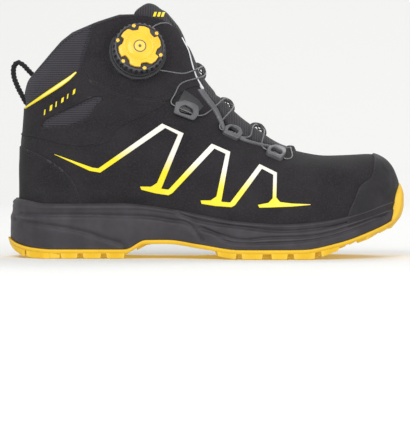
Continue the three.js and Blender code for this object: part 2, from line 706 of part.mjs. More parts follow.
// Where the medial arches stand, as shares of the throat's length.
const ARCHES = [0.48, 0.68, 0.865];
const ARCH_ACROSS = 17.5;
const ARCH_SPAN = 0.036;
const archEye = (i) => throatPoint(ARCHES[i], ARCH_ACROSS - 1.5, 3);
const crossing = (i, along, across) => throatPoint(ARCHES[i] + along, across, across < -4 ? 3.8 : 3);
const onSide = (x, z, out = 2.6) => sidePoint(LATERAL, x, z, out);

const lacePath = [
  onSide(-42, 145.5, 5.6), onSide(-36, 144.2, 4), onSide(-28, 143), onSide(-17, 141.6),
  crossing(0, -0.012, -19), crossing(0, -0.012, -6), crossing(0, -0.01, 8), archEye(0),
  crossing(0, 0.022, 8), crossing(0, 0.024, -6), crossing(0, 0.03, -19), onSide(-19.3, 133.4),
  onSide(-23.4, 126), onSide(-26.4, 119.5), onSide(-23.4, 116.6, 3),
  onSide(-15.4, 113.2, 3), onSide(-7, 109.6, 3), onSide(-1.5, 109.8),
  crossing(1, -0.03, -14), crossing(1, -0.02, 2), archEye(1),
  crossing(1, 0.02, 4), crossing(1, 0.03, -12), onSide(11, 102.4),
  onSide(11.5, 99), onSide(20.8, 96.6, 3), onSide(29.4, 92.4, 3),
  onSide(34.4, 93.4), crossing(2, -0.03, -10), crossing(2, -0.02, 4), archEye(2),
  crossing(2, 0.02, 4), crossing(2, 0.03, -10), onSide(43.5, 85.6),
  onSide(46.6, 83.2, 3), onSide(54, 80.6, 3), onSide(62, 76, 3),
  onSide(66, 76.6), skinPoint([66, AXIS_Y, 50], [66, AXIS_Y - 6, 82], 2.4),
  skinPoint([66, AXIS_Y, 50], [66, AXIS_Y + 1, 82], 2.4),
];
const lace = cordSolid(lacePath, LACE_D / 2, { steps: 96 });
// The cable's other end runs from the dial over the panel into its front edge.
const returnPath = [
  onSide(-42, 175.5, 5.4), onSide(-39, 178.2, 3.4), onSide(-34, 180.2, 2.9), onSide(-28.6, 179.8, 2.8),
  onSide(-24.4, 175.8, 2.7), onSide(-21.8, 170.6, 2.4),
];
const laceReturn = cordSolid(returnPath, LACE_D / 2, { steps: 18 });
const laceRoom = cordSolid(lacePath, LACE_D / 2 + 0.45, { steps: 96 })
  .add(cordSolid(returnPath, LACE_D / 2 + 0.45, { steps: 18 }));

const guideShell = bodySolid(-4.8).subtract(bodySolid(-GAP, 20));
GUIDES.forEach((guide, i) => {
  addSolid(`lace_guide_${i + 1}`,
    guideShell.intersect(guidePrism(guide, [-100, AXIS_Y])).subtract(throatSolid(3.3))
      .subtract(laceRoom), "plastic_black");
});
ARCHES.forEach((u, i) => {
  const line = [-1, -0.8, 0, 0.8, 1].map((k, j) =>
    throatPoint(u + k * ARCH_SPAN, ARCH_ACROSS, [1.6, 3.6, 5, 3.6, 1.6][j]));
  addSolid(`lace_arch_${i + 1}`, cordSolid(line, 1.3, { sides: 8, steps: 12 })
    .subtract(bodySolid(-1.3 - GAP)).subtract(laceRoom), "plastic_black");
});
const anchor = wasm.Manifold.cylinder(3.4, 4.2, 3.6, 18).rotate([0, -4, 0]).translate([66, AXIS_Y + 4.6, 82.4]);
addSolid("lace_anchor", anchor.subtract(bodySolid(-GAP)).subtract(laceRoom), "plastic_black");
addSolid("lace", lace, "steel");
addSolid("lace_return", laceReturn, "steel");

// ---------------------------------------------------------------- dial

const DIAL_AT = [-52.2, 157.3];
const DIAL_AXIS = new THREE.Vector3(0.13, -0.94, 0.31).normalize();
const dialFoot = new THREE.Vector3(...sidePoint(LATERAL, ...DIAL_AT, 0)).addScaledVector(DIAL_AXIS, -0.5);

// A turned or extruded dial piece, given along +Z, set on the dial axis.
function onDial(made) {
  const x = new THREE.Vector3(1, 0, 0).addScaledVector(DIAL_AXIS, -DIAL_AXIS.x).normalize();
  const y = new THREE.Vector3().crossVectors(DIAL_AXIS, x);
  const matrix = new THREE.Matrix4().makeBasis(x, y, DIAL_AXIS).setPosition(dialFoot);
  return made.transform(matrix.toArray());
}

function disc(radius, low, high, upper = radius, sides = 36) {
  return wasm.Manifold.cylinder(high - low, radius, upper, sides).translate([0, 0, low]);
}

// A knurled ring outline with teeth.
function knurl(radius, depth, teeth, low, high) {
  const outline = [];
  for (let i = 0; i < teeth * 2; i++) {
    const a = (Math.PI * i) / teeth;
    const r = i % 2 ? radius - depth : radius;
    outline.push([r * Math.cos(a), r * Math.sin(a)]);
  }
  return new wasm.CrossSection([outline], "NonZero").extrude(high - low).translate([0, 0, low]);
}

const POST = 2.6;
const base = union([disc(22.5, -8, 3.4, 21.5), disc(20.4, 3.4, 6.6)])
  .subtract(disc(15, 1.4, 7)).add(disc(POST, 1, 11.2, POST, 16));
addSolid("dial_base", onDial(base).subtract(bodySolid(-GAP)).subtract(laceRoom), "plastic_black");
const spool = disc(14, 1.8, 6.2).subtract(disc(20, 2.9, 5.1).subtract(disc(11, 2.9, 5.1)))
  .subtract(disc(POST + 0.3, 1, 7, POST + 0.3, 16));
addSolid("spool", onDial(spool).subtract(laceRoom), "plastic_black");
const pawls = knurl(14.6, 0.9, 18, 6.9, 9.2).subtract(disc(POST + 0.3, 6, 10, POST + 0.3, 16));
addSolid("pawl_disc", onDial(pawls), "plastic_black");
const knob = knurl(20, 0.8, 30, 7, 15).subtract(disc(15.4, 6, 9.5)).subtract(disc(17.2, 14.2, 16))
  .subtract(disc(POST + 0.3, 9, 11.8, POST + 0.3, 16));
addSolid("dial_knob", onDial(knob), "plastic_black");

// The cap: six raked blades round a hub, like a saw blade.
function capOutline() {
  const outline = [];
  for (let i = 0; i < 6; i++) {
    const a = 0.1 - (Math.PI / 3) * i;
    for (const [turn, r] of [[0, 16.4], [0.12, 12.2], [0.55, 12.8], [0.86, 15.6]]) {
      outline.push([r * Math.cos(a - turn), r * Math.sin(a - turn)]);
    }
  }
  return outline;
}
const cap = prism(capOutline(), 2.3, [0, 0, 14.5], [1, 0, 0], [0, 1, 0]).add(disc(11.4, 16, 17.4, 10.2));
addSolid("dial_cap", onDial(cap), "plastic_yellow");

// ---------------------------------------------------------------- heel pull loop

const LOOP_OUTER = [
  [-137, 112], [-140.5, 116], [-146, 128], [-150, 140], [-149, 149], [-146, 152.8], [-141, 150], [-131, 142], [-131, 112],
];
const LOOP_INNER = [[-137, 122], [-141.5, 124], [-145.5, 133], [-147.2, 141], [-145.6, 147], [-136.5, 140.6], [-132, 136]];
const pull = sidePrism(LOOP_OUTER, AXIS_Y - 7, AXIS_Y + 7).subtract(sidePrism(LOOP_INNER, -60, 60))
  .subtract(bodySolid(-1.6));
addSolid("pull_loop", pull, "webbing");

export default boot;
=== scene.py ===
"""A right mid-height hiking boot with a dial lace closure, modelled in millimetres and set on its CAD frame.

+X runs to the toe, +Z up, and the lateral side with the dial faces -Y.
"""
import json
import math

import bpy
import numpy as np
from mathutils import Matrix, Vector
from mathutils.bvhtree import BVHTree
from mathutils.geometry import delaunay_2d_cdt

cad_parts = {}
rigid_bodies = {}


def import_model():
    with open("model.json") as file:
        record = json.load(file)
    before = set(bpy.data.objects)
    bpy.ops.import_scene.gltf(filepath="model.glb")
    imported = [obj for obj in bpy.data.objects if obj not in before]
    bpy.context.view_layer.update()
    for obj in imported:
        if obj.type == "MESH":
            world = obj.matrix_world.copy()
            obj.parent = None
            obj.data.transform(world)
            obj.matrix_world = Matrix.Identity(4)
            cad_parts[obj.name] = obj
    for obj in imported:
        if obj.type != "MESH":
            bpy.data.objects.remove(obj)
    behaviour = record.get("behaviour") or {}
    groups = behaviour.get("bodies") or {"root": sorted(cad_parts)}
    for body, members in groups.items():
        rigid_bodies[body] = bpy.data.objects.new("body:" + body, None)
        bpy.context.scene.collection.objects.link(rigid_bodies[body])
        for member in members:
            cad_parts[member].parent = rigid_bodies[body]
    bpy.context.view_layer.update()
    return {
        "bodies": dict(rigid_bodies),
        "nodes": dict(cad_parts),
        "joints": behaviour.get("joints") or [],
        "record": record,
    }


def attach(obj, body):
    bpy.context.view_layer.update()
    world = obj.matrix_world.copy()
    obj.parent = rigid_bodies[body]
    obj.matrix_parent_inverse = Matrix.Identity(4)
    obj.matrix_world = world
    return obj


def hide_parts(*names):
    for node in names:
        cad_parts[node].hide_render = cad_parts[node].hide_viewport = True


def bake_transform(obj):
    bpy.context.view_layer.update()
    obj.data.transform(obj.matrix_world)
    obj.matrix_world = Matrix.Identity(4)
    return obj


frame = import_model()

AXIS_Y = 8.0  # heel and toe lie on this line
LATERAL, MEDIAL = -1, 1

# ---------------------------------------------------------------- curves and fields


def line(knots):
    """A smooth height line through (position, value) knots that never overshoots."""
    x, y = np.array(knots, float).T
    rise = np.diff(y) / np.diff(x)
    slope = np.concatenate([rise[:1], np.zeros(len(x) - 2), rise[-1:]])
    for i in range(1, len(x) - 1):
        a, b = rise[i - 1], rise[i]
        slope[i] = 2 * a * b / (a + b) if a * b > 0 else 0

    def at(q):
        q = np.clip(np.asarray(q, float), x[0], x[-1])
        i = np.clip(np.searchsorted(x, q, side="right") - 1, 0, len(x) - 2)
        run = x[i + 1] - x[i]
        t = (q - x[i]) / run
        return ((2 * t**3 - 3 * t**2 + 1) * y[i] + (t**3 - 2 * t**2 + t) * run * slope[i]
                + (3 * t**2 - 2 * t**3) * y[i + 1] + (t**3 - t**2) * run * slope[i + 1])

    return at


def smooth(a, b, x):
    t = np.clip((np.asarray(x, float) - a) / (b - a), 0, 1)
    return t * t * (3 - 2 * t)


def lerp(a, b, t):
    return a + (b - a) * t


def spline(points, per=8, loop=False):
    """A centripetal-like smooth polyline through a few points."""
    p = np.array(points, float)
    n = len(p)
    out = []
    for i in range(n if loop else n - 1):
        p0, p1, p2, p3 = (p[(i + k) % n] if loop else p[min(max(i + k, 0), n - 1)] for k in (-1, 0, 1, 2))
        d = [max(np.linalg.norm(b - a), 1e-6) ** 0.5 for a, b in ((p0, p1), (p1, p2), (p2, p3))]
        m1 = (p2 - p1) * 0 + (p1 - p0) / d[0] - (p2 - p0) / (d[0] + d[1]) + (p2 - p1) / d[1]
        m2 = (p2 - p1) / d[1] - (p3 - p1) / (d[1] + d[2]) + (p3 - p2) / d[2]
        m1, m2 = m1 * d[1], m2 * d[1]
        for k in range(per):
            t = k / per
            out.append((2 * t**3 - 3 * t**2 + 1) * p1 + (t**3 - 2 * t**2 + t) * m1
                       + (3 * t**2 - 2 * t**3) * p2 + (t**3 - t**2) * m2)
    if not loop:
        out.append(p[-1])
    return np.array(out)


def resample(path, step):
    """Points every step along a polyline, and the direction at each."""
    p = np.array(path, float)
    lengths = np.concatenate([[0], np.cumsum(np.linalg.norm(np.diff(p, axis=0), axis=1))])
    count = max(int(round(lengths[-1] / step)), 1)
    s = np.linspace(0, lengths[-1], count + 1)
    q = np.stack([np.interp(s, lengths, p[:, k]) for k in range(p.shape[1])], 1)
    d = np.gradient(q, axis=0)
    return q, d / np.maximum(np.linalg.norm(d, axis=1, keepdims=True), 1e-9)


def segment_distance(q, path, loop):
    """Distance from each 2-D point to a polyline, the nearest segment and the share along it."""
    p = np.array(path, float)
    a = p if loop else p[:-1]
    b = np.roll(p, -1, axis=0) if loop else p[1:]
    best = np.full(len(q), 1e9)
    seg = np.zeros(len(q), int)
    share = np.zeros(len(q))
    for i, (s, e) in enumerate(zip(a, b)):
        d = e - s
        t = np.clip(((q - s) @ d) / max(d @ d, 1e-12), 0, 1)
        r = np.linalg.norm(q - (s + t[:, None] * d), axis=1)
        near = r < best
        best[near], seg[near], share[near] = r[near], i, t[near]
    return best, seg, share


def inside(q, outline):
    """Signed distance into a closed 2-D outline, positive inside."""
    p = np.array(outline, float)
    distance, _, _ = segment_distance(q, p, True)
    within = np.zeros(len(q), bool)
    for a, b in zip(p, np.roll(p, -1, axis=0)):
        cross = (a[1] > q[:, 1]) != (b[1] > q[:, 1])
        at = (b[0] - a[0]) * (q[:, 1] - a[1]) / (b[1] - a[1] if b[1] != a[1] else 1e-9) + a[0]
        within ^= cross & (q[:, 0] < at)
    return np.where(within, distance, -distance)


# ---------------------------------------------------------------- driving dimensions

SOLE_PLAN = dict(back=-153.5, front=153.5, heel=45, lateral=66, medial=50, waist=27, lateral_run=95,
                 medial_run=75)
UPPER_PLAN = dict(back=-143, front=148.5, heel=37.5, lateral=60.5, medial=45.5, waist=32, lateral_run=92,
                  medial_run=74)
ground = line([(-153.5, 12), (-148, 5.5), (-140, 1.5), (-130, 0), (-62, 0), (-46, 9.5), (-34, 11), (-10, 8),
               (8, 2.5), (24, 0), (80, 0), (100, 6), (125, 15), (142, 23.5), (153.5, 34)])
outsole_top = line([(-153.5, 15.5), (-146, 11), (-134, 8), (-118, 6.8), (-62, 6.8), (-46, 14), (-29, 14.2),
                    (-5, 11), (26, 7), (73, 7.2), (102, 12.5), (127, 21), (146, 30), (153.5, 37)])
midsole_top = line([(-153.5, 46), (-140, 44.6), (-122, 41.8), (-64, 42), (-24, 37.4), (27, 28.6), (60, 26.8),
                    (92, 29.6), (120, 36.2), (143, 43.4), (153.5, 44.6)])
board = line([(-153.5, 29), (-140, 27), (-60, 26), (0, 20), (40, 17), (80, 17), (110, 22), (140, 33),
              (153.5, 39)])
ridge = line([(-143, 96), (-60, 100), (-20, 128), (0, 126), (17, 117.6), (27, 108.6), (45, 95), (62, 83.5),
              (78, 79), (93, 77), (112, 77.6), (128, 78.4), (137, 75), (143, 69), (148.5, 56)])
shaft_back = line([(46, -142.5), (68, -143), (86, -141.5), (103, -140), (119, -139), (130, -138.8),
                   (142, -135.5), (158, -131), (200, -126)])
shaft_front = line([(46, 20), (80, 22), (100, 24), (118, 16), (126.5, 8), (137, -1), (148, -7), (157, -10.5),
                    (166, -15.5), (176, -20), (186, -28), (193, -34), (200, -40)])
shaft_half = line([(46, 36), (70, 39), (95, 42), (120, 42.5), (145, 40), (165, 36.5), (185, 33), (200, 31)])
COLLAR_LINE = [(-150, 128), (-137, 140.5), (-121, 158), (-112, 167.5), (-103, 174), (-84, 181.8),
               (-66, 187.6), (-50, 188.4), (-34, 185), (-22, 178)]
THROAT = [(-42, 216, 15, 15), (-24, 180, 13, 13), (-15, 164, 13, 13), (-8.5, 152, 16, 14), (0, 137, 20, 14.5),
          (8.5, 127, 22, 15), (18, 117, 22, 15), (27, 108.6, 22, 15), (36, 101, 21, 15), (45, 95, 18.5, 14),
          (53, 89.4, 14, 11), (60, 85, 7, 7)]


def inset(plan, d):
    signs = dict(back=1, front=-1)
    return {k: v + signs.get(k, -1) * d for k, v in plan.items()}


def half_width(plan, side, x):
    """From the axis to the plan's edge on one side; side and x may be arrays."""
    x = np.asarray(x, float)
    lateral = lerp(plan["heel"], plan["lateral"], smooth(-45, 48, x))
    waist = plan["waist"]
    medial = np.where(x < -20, lerp(plan["heel"], waist, smooth(plan["back"] + plan["heel"], -20, x)),
                      lerp(waist, plan["medial"], smooth(-20, 60, x)))
    run = np.where(np.asarray(side) < 0, plan["lateral_run"], plan["medial_run"])
    behind = np.clip((plan["back"] + plan["heel"] - x) / plan["heel"], 0, 1)
    ahead = np.clip((x - plan["front"] + run) / run, 0, 1)
    return np.where(np.asarray(side) < 0, lateral, medial) * np.sqrt(1 - behind**2) * np.sqrt(1 - ahead**2)


def station_x(plan, u):
    return lerp(plan["back"], plan["front"], (1 - np.cos(np.pi * np.asarray(u, float))) / 2)


# ---------------------------------------------------------------- objects

SCALE = 0.001
MM = 1 / SCALE

# ---------------------------------------------------------------- materials


def srgb(red, green, blue):
    return tuple(c / 12.92 if c <= 0.04045 else ((c + 0.055) / 1.055) ** 2.4
                 for c in (red / 255, green / 255, blue / 255)) + (1.0,)


class Finish:
    """A principled material with colour variation and bumps, all in the object's own coordinates."""

    def __init__(self, name, roughness, metallic=0.0, sheen=0.0, coat=0.0, specular=0.5):
        self.material = bpy.data.materials.new(name)
        self.material.use_nodes = True
        self.nodes, self.links = self.material.node_tree.nodes, self.material.node_tree.links
        self.shader = self.nodes["Principled BSDF"]
        for socket, value in (("Roughness", roughness), ("Metallic", metallic), ("Sheen Weight", sheen),
                              ("Coat Weight", coat), ("Sheen Roughness", 0.5),
                              ("Specular IOR Level", specular)):
            self.shader.inputs[socket].default_value = value
        self.coords = self.add("ShaderNodeTexCoord").outputs["Object"]
        split = self.add("ShaderNodeSeparateXYZ")
        self.links.new(self.coords, split.inputs[0])
        self.x, self.y, self.z = split.outputs
        self.normal = None

    def add(self, kind, **settings):
        node = self.nodes.new(kind)
        for key, value in settings.items():
            setattr(node, key, value)
        return node

    def math(self, operation, *values):
        node = self.add("ShaderNodeMath", operation=operation)
        for socket, value in zip(node.inputs, values):
            if isinstance(value, (int, float)):
                socket.default_value = value
            else:
                self.links.new(value, socket)
        return node.outputs[0]

    def noise(self, size_mm, detail=3.0, stretch=(1, 1, 1)):
        move = self.add("ShaderNodeMapping")
        move.inputs["Scale"].default_value = [MM / size_mm * k for k in stretch]
        self.links.new(self.coords, move.inputs["Vector"])
        node = self.add("ShaderNodeTexNoise")
        node.inputs["Scale"].default_value = 1.0
        node.inputs["Detail"].default_value = detail
        self.links.new(move.outputs[0], node.inputs["Vector"])
        return node.outputs["Fac"]

    def ribs(self, along, period_mm, wobble=0.0):
        """A smooth ridge every period along one coordinate, from 0 to 1."""
        phase = self.math("MULTIPLY", along, 2 * math.pi * MM / period_mm)
        if wobble:
            phase = self.math("ADD", phase, self.math("MULTIPLY", self.noise(6), wobble))
        return self.math("MULTIPLY_ADD", self.math("SINE", phase), 0.5, 0.5)

    def range(self, value, low, high, to_low=0.0, to_high=1.0):
        node = self.add("ShaderNodeMapRange")
        self.links.new(value, node.inputs["Value"])
        for socket, number in zip(("From Min", "From Max", "To Min", "To Max"), (low, high, to_low, to_high)):
            node.inputs[socket].default_value = number
        return node.outputs[0]

    def mix(self, share, a, b):
        node = self.add("ShaderNodeMix", data_type="RGBA")
        for socket, value in ((node.inputs[0], share), (node.inputs[6], a), (node.inputs[7], b)):
            if isinstance(value, (tuple, float, int)):
                socket.default_value = value
            else:
                self.links.new(value, socket)
        return node.outputs[2]

    def colour(self, value):
        self.links.new(value, self.shader.inputs["Base Color"])
        return self

    def rough(self, value):
        self.links.new(value, self.shader.inputs["Roughness"])
        return self

    def bump(self, height, distance_mm, strength=1.0):
        node = self.add("ShaderNodeBump")
        node.inputs["Distance"].default_value = distance_mm * SCALE
        node.inputs["Strength"].default_value = strength
        self.links.new(height, node.inputs["Height"])
        if self.normal:
            self.links.new(self.normal, node.inputs["Normal"])
        self.normal = node.outputs[0]
        self.links.new(self.normal, self.shader.inputs["Normal"])
        return self

    def worn(self, colour, wear, amount):
        """Convex edges a little lighter than the rest."""
        edge = self.range(self.add("ShaderNodeNewGeometry").outputs["Pointiness"], 0.52, 0.6, 0.0, amount)
        return self.mix(edge, colour, wear)


def nubuck():
    f = Finish("nubuck", 0.92, sheen=0.04, specular=0.18)
    base = f.mix(f.range(f.noise(22, 4), 0.35, 0.65), srgb(37, 35, 37), srgb(45, 43, 45))
    base = f.mix(f.range(f.noise(1.1, 2), 0.45, 0.75, 0, 0.55), base, srgb(58, 56, 58))
    f.colour(f.worn(base, srgb(84, 80, 82), 0.5))
    return f.bump(f.noise(1.3, 3), 0.35, 0.5).bump(f.noise(0.45, 2), 0.15, 0.5).material


def ribbed(name, low, high, period, axis="z", depth=0.35):
    f = Finish(name, 0.9, sheen=0.08, specular=0.2)
    rib = f.ribs(getattr(f, axis), period, 0.5)
    cross = f.ribs(f.math("ADD", f.x, f.y), 0.9)
    weave = f.math("MULTIPLY_ADD", cross, 0.25, rib)
    base = f.mix(f.range(weave, 0, 1.25), low, high)
    f.colour(f.mix(f.range(f.noise(18), 0.3, 0.7, 0, 0.35), base, high))
    return f.bump(weave, depth, 0.8).bump(f.noise(0.5, 2), 0.12, 0.5).material


def woven(name, low, high, pitch, depth=0.3):
    """A plain weave: two sets of ribs that take turns on top."""
    f = Finish(name, 0.92, sheen=0.1, specular=0.2)
    a = f.ribs(f.math("ADD", f.x, f.z), pitch)
    b = f.ribs(f.math("SUBTRACT", f.x, f.math("ADD", f.z, f.y)), pitch)
    weave = f.math("MAXIMUM", a, b)
    base = f.mix(f.range(weave, 0.2, 1), low, high)
    f.colour(f.mix(f.range(f.noise(15), 0.35, 0.7, 0, 0.4), base, low))
    return f.bump(weave, depth, 0.8).material


def moulded(name, low, high, roughness, grain=0.6, depth=0.08, wear=None, coat=0.0, specular=0.5):
    f = Finish(name, roughness, coat=coat, specular=specular)
    base = f.mix(f.range(f.noise(14, 4), 0.35, 0.65), low, high)
    if wear:
        base = f.worn(base, wear, 0.6)
    f.colour(base).rough(f.range(f.noise(5, 3), 0.3, 0.7, roughness - 0.07, roughness + 0.08))
    return f.bump(f.noise(grain, 3), depth, 0.6).material


def tread_rubber():
    """Yellow rubber with a fine diamond grip between the lugs and dust rubbed into it."""
    f = Finish("rubber_yellow", 0.55)
    base = f.mix(f.range(f.noise(24, 4), 0.35, 0.65), srgb(228, 178, 8), srgb(238, 190, 26))
    base = f.mix(f.range(f.noise(3, 3), 0.5, 0.8, 0, 0.3), base, srgb(216, 160, 4))
    f.colour(f.worn(base, srgb(246, 208, 78), 0.5))
    a = f.ribs(f.math("ADD", f.x, f.y), 2.6)
    b = f.ribs(f.math("SUBTRACT", f.x, f.y), 2.6)
    return f.bump(f.math("MULTIPLY", a, b), 0.22, 0.5).bump(f.noise(0.8, 2), 0.08, 0.5).material


def printed():
    """Smooth film, white on the peaks and yellow in the valleys."""
    f = Finish("print", 0.45, coat=0.15)
    line_up = f.math("MULTIPLY_ADD", f.x, 0.25, f.z)
    white = f.range(line_up, 0.0585, 0.0725)
    base = f.mix(white, srgb(250, 228, 6), srgb(240, 236, 226))
    f.colour(f.mix(f.range(f.noise(3, 3), 0.5, 0.8, 0, 0.12), base, srgb(200, 196, 170)))
    return f.bump(f.noise(1.2, 2), 0.06, 0.5).material


def braided_steel():
    f = Finish("steel", 0.42, metallic=0.7)
    f.colour(f.mix(f.ribs(f.math("ADD", f.x, f.z), 0.9), srgb(70, 69, 72), srgb(150, 149, 152)))
    return f.bump(f.ribs(f.math("ADD", f.x, f.z), 0.9), 0.12, 0.7).material


MATERIALS = dict(
    nubuck=nubuck(),
    textile=ribbed("textile", srgb(38, 36, 40), srgb(72, 70, 76), 1.7),
    tongue_textile=ribbed("tongue_textile", srgb(38, 36, 38), srgb(68, 66, 69), 1.9, "x"),
    lining=woven("lining", srgb(34, 33, 36), srgb(62, 61, 65), 1.3),
    webbing=woven("webbing", srgb(22, 21, 23), srgb(48, 47, 50), 1.0, 0.25),
    thread=woven("thread", srgb(24, 23, 25), srgb(62, 60, 63), 0.6, 0.1),
    rubber_black=moulded("rubber_black", srgb(38, 36, 39), srgb(46, 44, 47), 0.62, 1.2, 0.1, srgb(84, 82, 85),
                         specular=0.25),
    foam_black=moulded("foam_black", srgb(48, 45, 49), srgb(58, 55, 60), 0.55, 0.8, 0.1, srgb(98, 94, 97),
                       specular=0.35),
    plastic_black=moulded("plastic_black", srgb(36, 35, 38), srgb(48, 47, 50), 0.4, 0.5, 0.05,
                          srgb(98, 97, 101)),
    plastic_grey=moulded("plastic_grey", srgb(78, 77, 81), srgb(98, 97, 101), 0.42, 0.5, 0.05,
                         srgb(128, 127, 131)),
    plastic_yellow=moulded("plastic_yellow", srgb(244, 190, 24), srgb(250, 200, 40), 0.4, 0.7, 0.05,
                           srgb(253, 222, 104), 0.2),
    film_yellow=moulded("film_yellow", srgb(248, 222, 24), srgb(252, 230, 44), 0.45, 1.0, 0.05),
    film_pale=moulded("film_pale", srgb(250, 238, 160), srgb(252, 242, 184), 0.45, 1.0, 0.05),
    reflective=moulded("reflective", srgb(205, 205, 210), srgb(232, 232, 236), 0.35, 0.7, 0.08),
    composite=moulded("composite", srgb(60, 58, 56), srgb(74, 72, 70), 0.6, 1.5, 0.1),
    rubber_yellow=tread_rubber(),
    print=printed(),
    steel=braided_steel(),
)
SLOTS = dict(tongue_textile="textile", lining="textile", thread="textile", plastic_grey="plastic_black",
             film_yellow="print", film_pale="print")

# ---------------------------------------------------------------- placing pieces


def mesh_object(name, points, faces, material, body="boot", slot=None, smooth_shade=True):
    """A mesh in millimetres, placed in the row frame and riding a body of the frame."""
    data = bpy.data.meshes.new(name)
    data.from_pydata((np.asarray(points, float) * SCALE).tolist(), [],
                     [tuple(int(i) for i in f) for f in faces])
    data.validate()
    data.polygons.foreach_set("use_smooth", [smooth_shade] * len(data.polygons))
    obj = bpy.data.objects.new(name, data)
    bpy.context.scene.collection.objects.link(obj)
    data.materials.append(MATERIALS[material] if isinstance(material, str) else material)
    if body:
        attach(obj, body)
    slot or SLOTS.get(material, material)
    return obj


def join_meshes(parts):
    points, faces, n = [], [], 0
    for p, f in parts:
        points.append(np.asarray(p, float))
        faces += [tuple(i + n for i in face) for face in f]
        n += len(p)
    return np.concatenate(points), faces


def grid_faces(rows, columns, loop=False, flip=False):
    """Quads of a rows by columns grid of points; loop joins the last column to the first."""
    out = []
    for i in range(rows - 1):
        for j in range(columns if loop else columns - 1):
            k = (j + 1) % columns
            quad = (i * columns + j, i * columns + k, (i + 1) * columns + k, (i + 1) * columns + j)
            out.append(quad[::-1] if flip else quad)
    return out


def sheet_faces(n, m, flip=False, turn_rim=False):
    """Faces of a sheet of n by m points and the inner copy that follows them, closed round the rim."""
    one_side, copy = grid_faces(n, m, flip=flip), n * m
    rim = [*range(m), *[i * m + m - 1 for i in range(1, n)], *range(n * m - 2, n * m - m - 1, -1),
           *[i * m for i in range(n - 2, 0, -1)]]
    ends = [rim, rim[1:] + rim[:1]][::-1 if turn_rim else 1]
    return [*one_side, *[tuple(i + copy for i in f[::-1]) for f in one_side],
            *[(a, b, b + copy, a + copy) for a, b in zip(*ends)]]


def frames_along(path, normals=None):
    """Direction and two cross vectors at every point of a path; normals fix the first cross vector."""
    p = np.array(path, float)
    t = np.gradient(p, axis=0)
    t /= np.maximum(np.linalg.norm(t, axis=1, keepdims=True), 1e-9)
    if normals is None:
        n = np.zeros_like(p)
        first = np.cross(t[0], (0, 0, 1) if abs(t[0][2]) < 0.9 else (1, 0, 0))
        for i in range(len(p)):
            first = first - t[i] * (first @ t[i])
            first /= np.linalg.norm(first)
            n[i] = first
    else:
        n = np.array(normals, float)
        n -= t * (n * t).sum(1, keepdims=True)
        n /= np.maximum(np.linalg.norm(n, axis=1, keepdims=True), 1e-9)
    return t, n, np.cross(t, n)


def sweep(path, section, normals=None, caps=True, scale=None, loop=False):
    """A section of (a, b) points run along a path: a along the normal, b across it."""
    p = np.array(path, float)
    t, n, b = frames_along(p, normals)
    if loop:
        t = np.roll(p, -1, 0) - np.roll(p, 1, 0)
        t /= np.linalg.norm(t, axis=1, keepdims=True)
        n = np.array(normals, float) - t * (np.array(normals) * t).sum(1, keepdims=True)
        n /= np.linalg.norm(n, axis=1, keepdims=True)
        b = np.cross(t, n)
    s = np.array(section, float)
    k = np.ones(len(p)) if scale is None else np.asarray(scale, float)
    points = (p[:, None] + k[:, None, None] * (s[None, :, :1] * n[:, None] + s[None, :, 1:2] * b[:, None]))
    rows = points.reshape(-1, 3)
    m = len(s)
    faces = grid_faces(len(p), m, loop=True)
    if loop:
        last = (len(p) - 1) * m
        faces += [(last + j, last + (j + 1) % m, (j + 1) % m, j) for j in range(m)]
    elif caps:
        faces += [tuple(range(m))[::-1], tuple(len(rows) - m + i for i in range(m))]
    return rows, faces


def round_section(radius, sides=8, squash=1.0):
    a = np.linspace(0, 2 * np.pi, sides, endpoint=False)
    return np.stack([radius * squash * np.cos(a), radius * np.sin(a)], 1)


def rounded_box_section(thick, wide, r, per=3):
    """A strap's section with round corners: thick along the normal, wide across."""
    out = []
    for cx, cy, a0 in ((1, 1, 0), (-1, 1, 90), (-1, -1, 180), (1, -1, 270)):
        for k in range(per + 1):
            a = math.radians(a0 + 90 * k / per)
            out.append((cx * (thick / 2 - r) + r * math.cos(a), cy * (wide / 2 - r) + r * math.sin(a)))
    return out


def lathe(profile, sides=96, wave=None):
    """A profile of (radius, height) turned about Z; wave(angle, radius, height) changes the radius."""
    p = np.array(profile, float)
    a = np.linspace(0, 2 * np.pi, sides, endpoint=False)
    r = np.repeat(p[:, :1], sides, 1)
    if wave:
        r = wave(a[None, :], r, p[:, 1:2])
    points = np.stack([r * np.cos(a), r * np.sin(a), np.repeat(p[:, 1:2], sides, 1)], 2).reshape(-1, 3)
    return points, grid_faces(len(p), sides, loop=True)


def signed_area(o):
    """The area inside a closed outline, positive when it runs counterclockwise."""
    return 0.5 * np.sum(o[:, 0] * np.roll(o[:, 1], -1) - np.roll(o[:, 0], -1) * o[:, 1])


def mitred(outline, sharpest):
    """A closed outline turned counterclockwise, with the mitre of each corner; sharpest limits its length."""
    o = np.array(outline, float)
    if signed_area(o) < 0:
        o = o[::-1]
    e = np.roll(o, -1, 0) - o
    n = np.stack([e[:, 1], -e[:, 0]], 1)
    n /= np.maximum(np.linalg.norm(n, axis=1, keepdims=True), 1e-9)
    m = n + np.roll(n, 1, 0)
    m /= np.maximum((m * n).sum(1, keepdims=True), sharpest)
    return o, m


